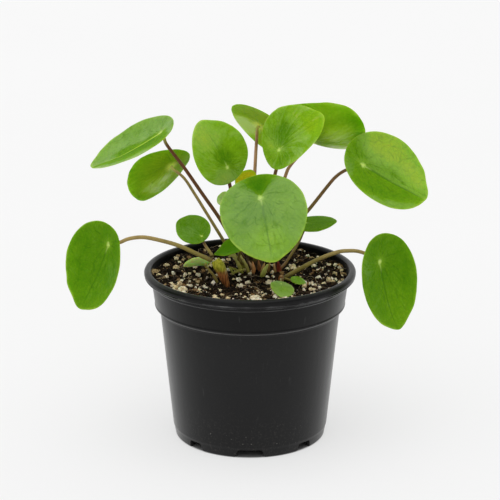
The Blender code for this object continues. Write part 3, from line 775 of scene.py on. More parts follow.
# The crown's shoots
# Round the stump stand this year's growth: juicy young stalks, a pale sheath, dry leaf stubs
# and thin scales. Each is grown from the mix like the stalks.
SHOOTS = [              # name, points from the foot up, radii, colours at foot and top
    ("pale_sheath", [(6.0, -4.4, 86.5), (7.6, -5.2, 91.1), (9.2, -6.0, 94.6)], (1.3, 1.2, 0.5),
     (0.30, 0.31, 0.05), (0.58, 0.62, 0.16)),
    ("tan_stub", [(13.6, 2.2, 86.5), (13.0, 1.9, 90.0), (12.6, 1.6, 92.5)], (0.8, 0.65, 0.5),
     (0.34, 0.20, 0.07), (0.75, 0.50, 0.22)),
    ("red_stub", [(15.6, 2.1, 86.5), (15.0, 1.6, 91.1), (14.7, 0.6, 93.9)], (1.3, 1.1, 0.5),
     (0.24, 0.05, 0.018), (0.20, 0.03, 0.015)),
    ("young_shoot", [(-2.1, 6.1, 86.5), (-4.4, 5.8, 91.0), (-6.7, 5.6, 94.2), (-9.2, 4.6, 98.5)],
     (0.9, 0.8, 0.75, 0.5), (0.42, 0.42, 0.07), (0.78, 0.78, 0.24)),
    ("second_shoot", [(-0.5, 5.0, 86.5), (-2.6, 4.4, 91.4), (-4.6, 3.7, 95.6), (-6.3, 2.9, 99.0)],
     (0.8, 0.7, 0.6, 0.4), (0.36, 0.37, 0.06), (0.72, 0.74, 0.22)),
    ("low_shoot", [(-3.1, 2.1, 86.3), (-7.3, 1.6, 89.2), (-11.0, 0.6, 90.9)], (0.9, 0.75, 0.5),
     (0.22, 0.22, 0.03), (0.40, 0.42, 0.07)),
    ("side_shoot", [(-8.6, -2.0, 86.0), (-9.0, -2.2, 88.8), (-10.4, -2.6, 91.4)], (0.8, 0.7, 0.4),
     (0.20, 0.20, 0.03), (0.42, 0.43, 0.09)),
    ("dry_scale", [(1.6, 4.6, 86.5), (0.9, 4.2, 90.6), (-0.6, 3.4, 93.4)], (1.0, 0.9, 0.3),
     (0.30, 0.14, 0.05), (0.78, 0.52, 0.32)),
    ("brown_scale", [(4.6, 3.6, 86.5), (4.9, 3.0, 90.8), (4.4, 2.2, 94.2)], (1.1, 0.9, 0.3),
     (0.20, 0.07, 0.025), (0.42, 0.18, 0.07)),
    ("inner_scale", [(9.4, 3.0, 86.5), (9.8, 2.4, 90.6), (10.4, 1.6, 93.6)], (1.0, 0.8, 0.3),
     (0.20, 0.11, 0.035), (0.46, 0.32, 0.10)),
    ("curled_shoot", [(-3.9, 1.2, 86.5), (-5.4, 0.6, 91.0), (-7.2, 0.0, 95.4), (-9.4, -0.8, 98.0),
                      (-11.2, -1.8, 97.6)], (1.0, 0.95, 0.85, 0.7, 0.4),
     (0.40, 0.38, 0.07), (0.80, 0.76, 0.24)),
    ("olive_shoot", [(-0.6, 1.0, 86.5), (-1.4, 1.2, 90.2), (-3.2, 1.7, 94.0), (-5.2, 2.1, 96.6)],
     (0.9, 0.85, 0.7, 0.4), (0.34, 0.30, 0.06), (0.66, 0.60, 0.20)),
    ("orange_scale", [(1.4, 0.0, 86.4), (2.0, 0.3, 90.2), (1.4, 0.7, 94.0)], (1.2, 1.0, 0.3),
     (0.30, 0.12, 0.035), (0.72, 0.34, 0.14)),
    ("rust_scale", [(6.2, -0.9, 86.4), (6.6, -1.0, 90.6), (7.6, -1.0, 93.8)], (1.1, 0.9, 0.3),
     (0.26, 0.12, 0.04), (0.56, 0.36, 0.13)),
    ("creeping_shoot", [(-9.4, -3.2, 86.2), (-8.4, -3.0, 88.9), (-5.4, -2.9, 90.3),
                        (-2.8, -2.8, 90.8)], (0.7, 0.75, 0.7, 0.4),
     (0.24, 0.23, 0.04), (0.46, 0.44, 0.09)),
]


def shoot_finish(name, foot, top):
    """Soft new growth or a dry scale, streaked along its length."""
    finish = Finish(name, Specular_IOR_Level=0.2)
    rise = finish.attribute("rise")
    fibre = finish.upright_noise(finish.place(), 0.25, 1500.0, 3.0)
    color = finish.paint(foot, (rise.rise(0.1, 0.9), top),
                         (fibre.rise(0.5, 0.68) * 0.45, [0.4 * part for part in foot]))
    return finish.done(color, 0.5 + 0.2 * fibre, fibre, 0.0003, 0.6)


for name, points, widths, foot, top in SHOOTS:
    path = smooth_path([*map(Vector, points)], 5)
    shoot = grow(name, path, smooth_radii(widths, 5), 14, shoot_finish(name, foot, top))
    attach(shoot, "root")


# The leaves
# Each leaf is a fleshy round blade, held on its stalk like a parasol: the stalk joins the
# underside near the rounded end, and shows through above as a pale spot.
BLADE = 0.8             # thickness at the spot
EDGE = 0.4              # thickness near the edge
TIP_SHARE = 0.035       # how far the soft point stands out of the ellipse
TIP_SPREAD = 0.3
EGG = 0.04
FULL_LENGTH = 45.0      # the blade length that the measures of relief are for
SMALL_LEAF = 25.0
SPOKES_AND_RINGS = (120, 28, 14)
SMALL_SPOKES_AND_RINGS = (64, 14, 8)
EDGE_EASE = 0.12        # how far the upper face turns down where it nears the edge
CREASE_ROUND = 0.6
BUMPS = 0.45            # the face's unevenness, and its size
BUMP_SIZE = 9.0
DIMPLE = 0.35           # the hollow over the stalk, and its radius
DIMPLE_RADIUS = 1.7
GROOVE = 0.16           # the midrib's depth, and its half width
GROOVE_WIDTH = 0.55
GAP = 0.3               # the solids' clearance between blade and stalk
STALK_NECK = 1.5        # the stalk's last stretch, square to the blade, in stalk radii
STALK_END = 0.6         # the end's depth under the upper face, as a share of the thickness
STALK_FOOT = 1.07       # the radius at the foot, as a share of the stalk's own
STALK_TAPER = 0.25      # how much of it goes on the way up
STALK_FLARE = 0.18      # how much comes back just under the blade

Leaf = namedtuple("Leaf", "name spot azimuth elevation roll length width arch cup share slide "
                          "stalk route")

# spot: where the stalk meets the blade. azimuth and elevation: where the upper face looks,
# azimuth from the front towards +X. roll: turns the blade's point from straight down.
# share: how far the spot is from the rounded end. slide: how far it is off the midline.
# route: the stalk's points from its foot to just short of the blade.
LEAVES = [
    Leaf("front", (5.3, -25, 136.2), -3, 43, 12, 46.5, 43.5, 0.19, 0.3, 0.29, 0, 1.15,
         [(2.7, 4.1, 94), (3.6, -3, 104), (4.8, -13, 120), (5.3, -20, 129.8)]),
    Leaf("upper_left", (-11.5, -8, 147.5), 34, 9, -159, 33.5, 31.2, 0.36, 0.08, 0.25, 0, 1,
         [(-0.9, 5.1, 96.5), (-3.2, 3.6, 106), (-8, 1, 123), (-11, -1.5, 139),
          (-13, -4, 145)]),
    Leaf("upper_middle", (14.7, -6, 156.2), -50, 28, 143, 36.5, 34.2, 0.27, 0.42, 0.265, -1.6, 1,
         [(7.3, 6.6, 95.5), (8.4, 6.8, 106), (10, 6, 125), (13.2, 2.5, 142),
          (15.6, -1.8, 151)]),
    Leaf("upper_right", (58.7, 7, 144.8), 40, 41, 42, 48.3, 45.1, -0.12, 0.36, 0.245, -2.5, 0.95,
         [(8.4, 9.5, 92.5), (16, 9.5, 102.5), (30.2, 9.5, 119.1), (41.1, 9.5, 133.4),
          (45.1, 9.8, 137.9), (49.5, 10, 140.9), (54.2, 9.9, 142.3)]),
    Leaf("low_left", (-71.9, -30, 112.8), -52, 10, -15, 45.5, 42.7, -0.17, 0.4, 0.215, 2.3, 1.1,
         [(-19.7, -17.9, 100.6), (-22.8, -17.8, 102), (-27.9, -17.9, 104.4),
          (-34.7, -18.8, 108.1), (-41.6, -20, 110.9), (-51.2, -23, 114.2),
          (-56.6, -25, 115.2), (-62, -26.8, 114.8), (-65.6, -27.8, 113.5)]),
    Leaf("low_right", (67.1, -14, 98.6), 51, 10, 0, 48.6, 45.4, -0.22, 0.32, 0.295, -1.5, 1.1,
         [(18.3, -11.7, 89.6), (21.3, -12.2, 91.6), (28.4, -12.6, 95.9),
          (36.1, -12.8, 100), (44.9, -12.6, 103.4), (50.5, -12.2, 104),
          (56.1, -11.6, 103.5), (61.5, -11.2, 101.2)]),
    Leaf("high_left", (-46.2, 5, 162.7), -81, 53, -6, 47.3, 44.2, -0.21, 0.32, 0.185, 2.2, 1,
         [(-3.3, 10.5, 92.5), (-9.5, 10.3, 103), (-15.8, 9.4, 114.8), (-25, 8.2, 129),
          (-34, 7, 143), (-40.4, 6, 152), (-43.5, 5.6, 156.8)]),
    Leaf("back_left", (-42.1, 30, 138.3), -143, 35, 14, 38.4, 36, -0.03, 0.46, 0.31, -2.3, 0.9,
         [(-3.5, 11.8, 90), (-8.5, 12.5, 93.6), (-12.2, 13.5, 98.7), (-16.4, 15, 105.3),
          (-23, 19, 115.2), (-29.6, 23, 125.1), (-34.9, 26, 132.4)]),
    Leaf("back_middle", (5.1, 44, 156.9), 140, 38, -95, 45.8, 42.8, 0.31, -0.37, 0.31, 1.1, 0.95,
         [(3, 15.9, 94.5), (2.5, 17.6, 108), (2.3, 24, 128), (3, 33, 143), (3.6, 39, 151.6)]),
    Leaf("back_right", (31.4, 39, 150.1), 131, 59, -105, 51.4, 48.2, -0.6, 0.4, 0.275, 3.9, 0.95,
         [(6.7, 14.2, 93), (9.5, 16.4, 104.4), (13.8, 22.5, 117.5), (19, 31.2, 132.7),
          (21.2, 34, 136.7), (25.1, 37.3, 140.6), (28.8, 37.6, 144.3)]),
    Leaf("small_left", (-24.9, -8.3, 110.8), -4, 48, -119, 18.3, 17.1, -0.04, 0.06, 0.17, 1.2, 0.8,
         [(-19.3, -16.6, 102.6), (-21.2, -13.8, 104.6), (-23, -10, 106),
          (-24.1, -7.4, 107.3)]),
    Leaf("small_right", (29.5, 20, 109.6), -15, 81, 95, 21.3, 19.9, -0.13, -0.05, 0.255, 0.4, 0.8,
         [(15.4, 4.7, 81.4), (15.4, 4.7, 86.5), (16, 5.2, 88.8), (18.5, 7, 91),
          (21.9, 11, 94.9), (25.8, 15, 100.4), (28.1, 18, 104.8)]),
    Leaf("crown_left", (-5.1, -5, 105), -46, 66, -45, 16.5, 15.5, 0.1, 0.3, 0.25, 0, 0.8,
         [(-1.55, 7.05, 90), (-4.8, 3.5, 92.5), (-6, -1, 96.5)]),
    Leaf("young_left", (-11.8, 5, 126.2), -35, 35, -100, 9.5, 8, 0.1, 0.5, 0.27, 0, 0.8,
         [(-2.8, 7.5, 98.5), (-6.5, 7.2, 108), (-9.7, 7, 118)]),
    Leaf("young_back", (-3.5, 16, 132.2), -20, 50, 170, 13, 11, 0.1, 0.3, 0.27, 0, 0.8,
         [(0.1, 15.2, 97.5), (-1.5, 16.3, 107), (-3, 17, 119)]),
    Leaf("sprout_left", (-22.8, -10.3, 97.2), 171, 52, 94, 13.4, 12.6, 0.26, 0.18, 0.17, 0.2, 0.7,
         [(-17, -14.3, 81.4), (-17, -14.3, 87.2), (-17.6, -14.3, 89.2), (-19, -14.2, 91.6),
          (-21, -13.6, 94)]),
    Leaf("sprout_right", (15.9, -30.6, 92.3), 58, 71, -56, 13.3, 12.4, 0.19, 0.07, 0.21, -0.6, 0.6,
         [(15.9, -14.3, 89.4), (15.8, -19, 89.7), (15.8, -26, 90.4)]),
    Leaf("sprout_tiny", (22.7, -19.2, 91.6), 40, 74, 49, 7.9, 7.4, 0.13, -0.05, 0.225, 1.2, 0.6,
         [(18.1, -13.9, 89.6), (20.3, -16.2, 89.6)]),
]

# What the eye sees beyond the solids. tone: from deep green (0) through fresh yellow-green (1)
# to ochre (1.5). bloom: how much waxy gloss the blade has. lobe: bends the rounded end forward.
# fold: creases the blade along its midrib. droop: lets one half hang from the midrib. rib: a
# pale (above 0) or dark (below 0) midrib. shade: the reach of a strip beside the midrib with less
# gloss and a painted shade, negative for its other side. fan: a fan from the spot to the
# rounded end with less gloss and a painted shade. streak: gloss drawn out like spokes. lucent:
# how much light comes through. pale: how pale grey-green the blade is, its underside most: partly
# its own colour, partly painted light that brightens blades lying in shade. tip: how far the soft
# point stands out. patches: each by its place along and across the blade and its
# reach, in blade lengths, its change of bloom and of tone; the tone changes are painted light and
# shade, lighter where a sheen falls and darker where shade falls. swell: the middle and half
# width, in degrees from the point, of a fuller stretch of edge, and its share of the way to the
# edge. foot and top: the stalk's colours at its ends.
Dress = namedtuple("Dress", "foot top tone bloom lobe fold droop rib shade fan streak lucent pale "
                   "tip patches swell", defaults=(0.0, 0.0, 0.0, -0.4, 0.0, 0.0, 0.4, 0.3, 0.0,
                                                   1.0, (), ()))
TAN = (0.38, 0.27, 0.095)
OLIVE = (0.25, 0.20, 0.045)
RED_BROWN = (0.15, 0.05, 0.016)
BROWN = (0.20, 0.10, 0.035)
PINK_BROWN = (0.45, 0.25, 0.13)
DRESSES = {
    "front": Dress(OLIVE, BROWN, 0.54, 0.92, lobe=-0.1, rib=-0.4, fan=1.0,
                   swell=(-155.0, 28.0, -0.045),
                   patches=[(0.5, 0.0, 0.28, -0.25, 0.4), (0.2, -0.05, 0.3, 0.05, -0.15),
                            (0.1, 0.25, 0.2, 0.0, 0.15)]),
    "upper_left": Dress(OLIVE, RED_BROWN, 0.86, 0.45, rib=-0.2, streak=1.5,
                        patches=[(0.12, -0.02, 0.25, -0.9, -0.55), (0.2, -0.26, 0.2, -0.9, 0.0),
                                 (0.6, 0.1, 0.32, 0.9, 0.3), (-0.12, 0.12, 0.22, 1.25, 0.3)]),
    "upper_middle": Dress(OLIVE, BROWN, 0.80, 0.45, rib=-0.2, streak=1.5,
                          patches=[(0.16, 0.17, 0.24, -0.4, -0.5), (0.62, 0.0, 0.28, -0.6, 0.3),
                                   (-0.07, 0.15, 0.16, 0.6, 0.2), (0.5, 0.3, 0.2, -0.2, 0.2),
                                   (0.03, -0.23, 0.2, -0.6, -0.4)]),
    "upper_right": Dress(OLIVE, BROWN, 0.57, 0.42, lobe=0.2, rib=-0.6, shade=-0.45,
                         patches=[(-0.16, 0.1, 0.2, -0.4, -0.15), (0.10, 0.41, 0.32, 1.45, 0.75),
                                  (0.38, 0.33, 0.22, 0.6, 0.5), (0.62, 0.22, 0.25, 0.4, 0.6)]),
    "low_left": Dress(OLIVE, TAN, 0.25, -0.05, fold=0.02, rib=-0.6,
                      patches=[(0.23, 0.3, 0.2, 0.2, -0.05)]),
    "low_right": Dress(OLIVE, TAN, 0.25, -0.05, fold=0.02, rib=-0.6,
                       patches=[(0.03, -0.27, 0.16, 0.2, 0), (0.5, 0.1, 0.3, 0.0, 0.2)]),
    "high_left": Dress(BROWN, RED_BROWN, 0.53, 0.60, fold=0.05, droop=0.2, rib=1.0, shade=0.45,
                       patches=[(0.3, 0.35, 0.25, 0.3, 0.3), (0.15, 0.08, 0.2, -0.9, -0.15),
                                (0.4, 0.06, 0.25, -0.9, -0.1)]),
    "back_left": Dress(OLIVE, TAN, 0.34, -0.3, fold=0.02, rib=0.4, streak=1.2, lucent=0.5,
                       patches=[(0.38, 0.0, 0.25, 1.2, 0.6), (0.15, -0.05, 0.2, 0.7, 0.4)]),
    "back_middle": Dress(BROWN, PINK_BROWN, 0.45, -0.4, rib=0.4, streak=1.1, lucent=0.5,
                         patches=[(-0.22, 0.0, 0.24, 1.8, 0.95), (0.3, 0.1, 0.3, 0.3, 0.5)]),
    "back_right": Dress(BROWN, PINK_BROWN, 0.16, -0.3, rib=0.4, streak=1.2, lucent=0.4, tip=0.0,
                        patches=[(0.43, 0.02, 0.2, 1.0, 0.8), (0.2, 0.4, 0.35, 1.0, 0.5),
                                 (0.6, -0.3, 0.25, 0.4, 0.3), (0.78, 0.05, 0.14, -0.5, -0.2)],
                        swell=(-8.0, 40.0, 0.06)),
    "small_left": Dress(OLIVE, BROWN, 0.36, 0.2, rib=-0.2, patches=[(0.4, 0.1, 0.25, 0.2, 0.1)]),
    "small_right": Dress(BROWN, OLIVE, 0.36, -0.1, rib=-0.4),
    "crown_left": Dress(OLIVE, OLIVE, 0.16, -0.2, rib=-0.2, tip=4.0),
    "young_left": Dress(OLIVE, OLIVE, 0.95, 1.0, lucent=0.6, pale=1.0),
    "young_back": Dress(OLIVE, OLIVE, 1.75, -0.2, rib=0.3, lucent=0.6),
    "sprout_left": Dress(OLIVE, OLIVE, 1.3, 1.0, fold=0.03, rib=0.3, lucent=1.0, pale=1.0),
    "sprout_right": Dress(OLIVE, OLIVE, 0.60, 0.75, rib=-0.1, pale=0.25,
                          patches=[(0.42, 0.1, 0.3, -0.4, 0.1)]),
    "sprout_tiny": Dress(OLIVE, OLIVE, 0.60, 0.75, rib=-0.1),
}


def blade_axes(leaf):
    """The blade's own axes: towards its point, across it, and out of its upper face."""
    azimuth, elevation, roll = map(math.radians, (leaf.azimuth, leaf.elevation, leaf.roll))
    level = math.cos(elevation)
    face = Vector((math.sin(azimuth) * level, -math.cos(azimuth) * level, math.sin(elevation)))
    aside = Vector((math.cos(azimuth), math.sin(azimuth), 0.0))
    down = aside.cross(face)
    if down.z > 0:
        down = -down
    point = math.cos(roll) * down + math.sin(roll) * aside
    return point, face.cross(point), face


def blade_edge(leaf, dress, angle, seed):
    """Along and across from the spot to the blade's edge, by the angle from its point."""
    along = leaf.length * (0.5 - leaf.share + 0.5 * math.cos(angle))
    from_tip = min(angle, 2 * math.pi - angle)
    along += dress.tip * leaf.length * TIP_SHARE * math.exp(-(from_tip / TIP_SPREAD) ** 2)
    across = 0.5 * leaf.width * math.sin(angle) * (1 - EGG * math.cos(angle)) - leaf.slide
    place = Vector((1.6 * math.cos(angle), 1.6 * math.sin(angle), 2.3 * seed))
    waver = 1 + 0.014 * noise.noise(place) + 0.008 * noise.noise(3.1 * place)
    if dress.swell:
        middle, half_width, amount = dress.swell
        turned = math.remainder(math.degrees(angle) - middle, 360)
        waver += amount * math.exp(-(turned / half_width) ** 2)
    return along * waver, across * waver


def blade_rise(leaf, dress, along, across, share, seed):
    """How far the upper face stands out of the blade's plane, in millimetres."""
    bend = dress.lobe if along < 0 and dress.lobe else -leaf.arch
    out = bend * along ** 2 / leaf.length
    out += (1 - dress.fold * 4) * leaf.cup * across ** 2 / leaf.width
    out += dress.fold * (abs(across) - CREASE_ROUND * (1 - math.exp(-abs(across) / CREASE_ROUND)))
    out -= dress.droop * max(0.0, across) * (0.6 - along / leaf.length)
    size = leaf.length / FULL_LENGTH
    place = Vector((along / (BUMP_SIZE * size), across / (BUMP_SIZE * size), seed * 3.7))
    out += BUMPS * size * share * noise.noise(place)
    out -= DIMPLE * size * math.exp(-(share * leaf.length / 2 / (DIMPLE_RADIUS * size)) ** 2)
    rib = math.exp(-(across / (GROOVE_WIDTH * size)) ** 2) * (1 if along > 0 else 0.4)
    return out - GROOVE * size * rib * min(1.0, share * 4) * (1 - share)


def blade_mesh(leaf, dress, seed):
    """The blade as one closed skin: up face, round edge and under face are turned rings."""
    small = leaf.length < SMALL_LEAF
    spokes, top_rings, under_rings = SMALL_SPOKES_AND_RINGS if small else SPOKES_AND_RINGS
    tops = [(i / top_rings) ** 0.9 for i in range(top_rings + 1)]
    unders = [1 - i / under_rings for i in range(under_rings + 1)]
    rows = [            # share of the way to the edge, and depth under the upper face
        *((share, EDGE_EASE * max(0.0, share - 0.97) / 0.03) for share in tops),
        (1.006, 0.5 * EDGE),
        *((share, EDGE - 0.06 + (BLADE - EDGE) * (1 - share ** 2)) for share in unders)]
    point, side, face = blade_axes(leaf)
    verts = []
    notes = []
    for share, depth in rows:
        for k in range(1 if share == 0 else spokes):
            along, across = blade_edge(leaf, dress, 2 * math.pi * k / spokes, seed)
            along *= share
            across *= share
            out = blade_rise(leaf, dress, along, across, share, seed) - depth
            verts.append((Vector(leaf.spot) + along * point + across * side + out * face) * MM)
            upper = 1.0 if len(notes) < 1 + top_rings * spokes else 0.0
            notes.append((along / leaf.length, across / leaf.length, min(share, 1.0), upper))
    last = len(verts) - 1
    faces = [(0, 1 + k, 1 + (k + 1) % spokes) for k in range(spokes)]
    for first in range(1, last - spokes, spokes):
        for k in range(spokes):
            a, b = first + k, first + (k + 1) % spokes
            faces.append((a, a + spokes, b + spokes, b))
    first = last - spokes
    faces += [(last, first + (k + 1) % spokes, first + k) for k in range(spokes)]
    mesh = bpy.data.meshes.new(leaf.name)
    mesh.from_pydata(verts, [], faces)
    layout = mesh.uv_layers.new(name="blade")
    for loop in mesh.loops:
        along, across, _, _ = notes[loop.vertex_index]
        layout.data[loop.index].uv = (along + 0.5, across + 0.5)
    note_points(mesh, share=[note[2] for note in notes], upper=[note[3] for note in notes])
    return face_outwards(mesh)


def leaf_finish(leaf, dress, seed):
    """Fleshy green skin under a patchy waxy gloss: pale spot, sunken veins, a lighter rim.
    Painted light and shade: lighter and darker patches, a dark fan, a dark strip by the midrib,
    and a painted glow round the joint.
    """
    finish = Finish("leaf_" + leaf.name, Specular_IOR_Level=0.02, Coat_IOR=1.5,
                    Coat_Roughness=0.30, Subsurface_Weight=dress.lucent,
                    Subsurface_Radius=(0.5, 1.0, 0.1), Subsurface_Scale=0.0016)
    chart = finish.node("ShaderNodeUVMap", uv_map="blade")
    along, across = (axis - 0.5 for axis in finish.axes(chart)[:2])
    share = finish.attribute("share")
    upper = finish.attribute("upper")
    reach = (along * along + across * across) ** 0.5
    turn = abs(across.math("ARCTAN2", across, along))
    shift = (seed * 0.37, seed * 0.61, seed)
    chart = finish.node("ShaderNodeMapping", {"Vector": chart, "Location": shift})
    blotch = finish.noise(chart, 5.0, 3.0)
    mottle = finish.noise(chart, 34.0, 4.0, 0.6)
    sway = finish.noise(chart, 5.0, 2.0, 0.5, output=1)
    wavy = finish.node("ShaderNodeVectorMath", {0: sway, 1: (0.09, 0.09, 0.0), 2: chart},
                       operation="MULTIPLY_ADD")
    spokes = finish.vector(turn * 1.3 + across * 1.6, reach * 0.9, seed * 1.7)
    streak = finish.noise(spokes, 7.5, 4.0, 0.65)

    # The midrib runs to the point. Side veins leave the spot like spokes and bend that way.
    sway_x, sway_y, _ = finish.axes(sway)
    off = abs(across + 0.05 * reach * (sway_x - 0.5))
    midrib = (off / (0.028 - 0.022 * along)).fall(0.0, 1.0) * along.rise(0.0, 0.05)
    midrib = midrib * share.fall(0.8 - 0.4 * max(0.0, dress.rib), 1.0)
    swept = turn + reach * 0.9 + 0.9 * (sway_y - 0.5)
    veins = midrib * 0.5
    for spoke in (0.62, 1.25, 1.95, 2.6):
        gap = abs(swept - spoke) * (reach + 0.02)
        veins = veins.most((gap / 0.017).fall(0.0, 1.0) * 0.85)
    broken = finish.noise(chart, 8.0, 2.0).rise(0.38, 0.58)
    veins = veins * share.fall(0.55, 1.0) * broken * reach.rise(0.02, 0.06)
    net, lattice = (finish.node("ShaderNodeTexVoronoi", {"Vector": wavy, "Scale": scale},
                                feature="DISTANCE_TO_EDGE") for scale in (17.0, 6.5))
    cells = net.rise(0.0, 0.16)
    twigs = lattice.fall(0.0, 0.11) * finish.noise(chart, 11.0, 2.0).rise(0.42, 0.62)

    tone = dress.tone + 0.5 * (blotch - 0.5) + 0.5 * (mottle - 0.5)
    tone = tone + 0.55 * dress.streak * (streak - 0.5)
    gloss = dress.bloom + 0.5 * (blotch - 0.5) + 2.4 * dress.streak * (streak - 0.5)
    # The patches' tone changes are painted light and shade: lighter where a sheen falls, darker
    # where shade falls.
    for middle_along, middle_across, size, more_bloom, painted_light_and_shade_tone in dress.patches:
        ahead = (along - middle_along) / size
        aside = (across - middle_across) / size
        patch = ((ahead * ahead + aside * aside) ** 0.5 + 0.7 * (blotch - 0.5)).fall(0.2, 1.15)
        tone = tone + painted_light_and_shade_tone * patch
        gloss = gloss + more_bloom * patch
    # The fan is painted shade: its tone is made darker, and its gloss less.
    if dress.fan:
        fan = (turn + 0.9 * (blotch - 0.5) + 0.5 * (mottle - 0.5)).rise(2.1, 3.05) * dress.fan
        tone = tone - 0.5 * fan
        gloss = gloss - 1.9 * fan
    # The strip beside the midrib is painted shade: its tone is made darker, and its gloss less.
    if dress.shade:
        beside = across * math.copysign(1.0, dress.shade)
        width = abs(dress.shade) * (1.05 - 1.1 * along)
        strip = beside.rise(0.0, 0.008) * (beside / width + 0.6 * (blotch - 0.5)).fall(0.6, 1.2)
        strip = strip * along.rise(-0.12, -0.02)
        tone = tone - 0.15 * strip
        gloss = gloss - 0.9 * strip
    inked = 0.30 - 0.12 * dress.streak
    color = finish.paint(
        (0.052, 0.180, 0.0012), (tone, (0.210, 0.400, 0.008)),
        ((tone - 1) * 4, (0.28, 0.43, 0.006)), ((tone - 1.35) * 3, (0.44, 0.40, 0.006)),
        (share.rise(0.7, 1.0) * (0.1 + 0.25 * dress.tone), (0.25, 0.42, 0.012)),
        (twigs * inked, (0.04, 0.14, 0.002)), (veins * (0.2 + inked), (0.045, 0.15, 0.003)),
        ((1 - cells) * 0.14, (0.05, 0.17, 0.002)))
    under = finish.paint((0.13, 0.30, 0.002), (tone, (0.44, 0.62, 0.02)),
                         (veins * 0.45, (0.09, 0.26, 0.01)))
    rim = share.rise(0.955, 1.0) * blotch.rise(0.3, 0.6)
    # Painted light: a bright yellow glow round the joint on the underside, as if light came through
    # it.
    painted_joint_glow = (reach + 0.06 * (mottle - 0.5)).fall(0.0, 0.13) * (1 - upper)
    tail = (off / 0.016).fall(0.0, 1.2) * along.fall(0.03, 0.14) * along.rise(0.0, 0.02)
    spot = (reach + 0.05 * (finish.noise(chart, 30.0, 2.0) - 0.5)).fall(0.006, 0.045)
    # Painted light: a paler glow round the spot on both faces. The pale mix is partly the blade's
    # own grey-green and partly painted light on blades that lie in shade.
    color = finish.paint(
        under, (upper, color), (dress.pale * (1 - 0.67 * upper), (0.76, 0.87, 0.38)),
        (midrib * abs(dress.rib), (0.36, 0.52, 0.05) if dress.rib > 0 else (0.05, 0.155, 0.003)),
        (rim * 0.6, (0.34, 0.50, 0.04)), (reach.fall(0.0, 0.12) * 0.35, (0.30, 0.50, 0.03)),
        (painted_joint_glow, (0.80, 0.86, 0.14)), (spot.most(tail * 0.55) * 0.85, (0.55, 0.74, 0.17)))
    gloss = (gloss - 0.3 * veins - 0.2 * twigs).most(0.0)
    finish.set("Coat Weight", gloss.math("MINIMUM", gloss, 1.0))
    relief = cells * 0.35 + mottle * 0.3 - veins * 0.9 - twigs * 0.3 + blotch * 1.2 + streak * 0.5
    return finish.done(color, 0.45 + 0.12 * mottle, relief, 0.00035 * leaf.length / FULL_LENGTH,
                       0.6)


def stalk_finish(leaf, dress):
    """A smooth juicy stalk, darker at its foot, with fine lengthwise lines and a painted glow of
    light at its top end.
    """
    finish = Finish("stalk_" + leaf.name, Specular_IOR_Level=0.25, Subsurface_Weight=0.08,
                    Subsurface_Radius=(1.0, 0.5, 0.2), Subsurface_Scale=0.001)
    rise = finish.attribute("rise")
    place = finish.place()
    lines = finish.noise(place, 1500.0, 2.0)
    patch = finish.noise(place, 160.0, 3.0)
    color = finish.paint(
        dress.foot, (rise.rise(0.1, 0.75), dress.top),
        (patch.rise(0.45, 0.7) * 0.45, [0.55 * part for part in dress.foot]),
        (rise.fall(0.0, 0.06) * 0.5, (0.05, 0.03, 0.012)),
        # Painted light: a pale yellow-green glow at the top end, as if light came through the blade
        # there.
        (rise.rise(0.90, 0.98) * 0.9, (0.62, 0.60, 0.16)))
    return finish.done(color, 0.36 + 0.2 * lines, lines, 0.0002, 0.5)


def stalk_path(leaf):
    """The stalk's centre line, square to the blade where it meets the underside."""
    face = blade_axes(leaf)[2]
    spot = Vector(leaf.spot)
    top = spot - (BLADE + GAP) * face
    neck = top - STALK_NECK * leaf.stalk * face
    path = smooth_path([*map(Vector, leaf.route), neck, top], 7)
    return [*path, spot - STALK_END * BLADE * face]


for seed, leaf in enumerate(LEAVES):
    dress = DRESSES[leaf.name]
    blade = add_object("blade_" + leaf.name, blade_mesh(leaf, dress, seed))
    blade.data.materials.append(leaf_finish(leaf, dress, seed))
    shade_round(blade, 75)
    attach(blade, "root")
    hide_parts("leaf_" + leaf.name)
    path = stalk_path(leaf)
    last = len(path) - 1
    radii = [leaf.stalk * (STALK_FOOT - STALK_TAPER * i / last
                           + STALK_FLARE * math.exp(-(last - i) / 1.5)) for i in range(last + 1)]
    stalk = grow("stalk_of_" + leaf.name, path, radii, 20, stalk_finish(leaf, dress))
    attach(stalk, "root")
    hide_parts("petiole_" + leaf.name)


# The studio
# A wide white sheet that glows evenly, as acrylic lit from below would, but not where the pot
# stands: that dark disc is a painted shadow. One big overhead light lights the scene, with paler
# light coming back from the walls. It isn't part of the plant.
FLOOR_HALF = 4.0
# Inside this radius the sheet's glow is left out: a painted shadow under the pot.
POT_SHADE_RADIUS = 0.038    # no light comes up through the sheet where the pot stands on it


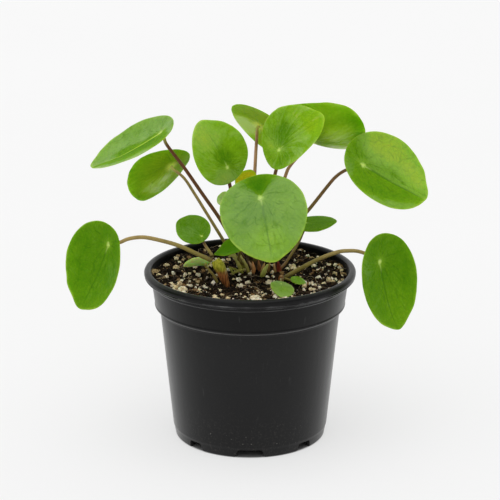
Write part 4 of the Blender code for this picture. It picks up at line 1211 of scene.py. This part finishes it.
def floor_finish():
    finish = Finish("white_table", Specular_IOR_Level=0.1, Emission_Strength=0.588)
    place = finish.place()
    east, north, _ = finish.axes(place)
    # The glow stops where the pot stands, which paints a shadow under it.
    lit = ((east * east + north * north) ** 0.5).rise(POT_SHADE_RADIUS, POT_SHADE_RADIUS + 0.002)
    finish.set("Emission Color", finish.paint((0.0, 0.0, 0.0), (lit, (1.0, 1.0, 1.0))))
    cloud = finish.noise(place, 3.0, 2.0)
    color = finish.paint((0.28, 0.28, 0.28), (cloud, (0.30, 0.30, 0.30)))
    return finish.done(color, 0.8 + 0.1 * cloud)


work = bmesh.new()
bmesh.ops.create_grid(work, x_segments=4, y_segments=4, size=FLOOR_HALF)
floor = add_object("table", mesh_from("table", work))
floor.data.materials.append(floor_finish())

key = bpy.data.lights.new("overhead", "SUN")
key.energy = 1.2
key.angle = math.radians(75)
add_object("overhead", key).rotation_euler = (math.radians(20), math.radians(-10), 0)

world = bpy.data.worlds.new("studio")
world.use_nodes = True
SCENE.world = world
air = Wiring(world.node_tree)
back = world.node_tree.nodes["Background"]
_, forward, upward = air.axes(air.node("ShaderNodeTexCoord"))
glow = 0.50 + 0.40 * forward.rise(-0.5, 0.6) + 0.2 * upward.rise(0.1, 0.9)
seen = air.node("ShaderNodeLightPath")
level = glow + seen * (0.93 - glow)
air.feed(back.inputs["Color"], air.node("ShaderNodeCombineColor", {
    0: level, 1: level, 2: level}))

SCENE.view_settings.view_transform = "Standard"
SCENE.view_settings.look = "None"
SCENE.view_settings.exposure = 0.0

# The camera
# A long lens looks down on the pot from the front, as the photograph's does.
CAMERA_PLACE = (0.0, -1.033, 0.422)
CAMERA_PITCH = 17.28    # below the horizon
LENS = 149.2            # on a 36 mm wide frame

camera = add_object("camera", bpy.data.cameras.new("camera"))
camera.data.lens = LENS
camera.data.sensor_width = 36.0
camera.data.clip_start = 0.05
camera.data.clip_end = 50.0
camera.location = CAMERA_PLACE
camera.rotation_euler = (math.radians(90 - CAMERA_PITCH), 0, 0)
SCENE.camera = camera
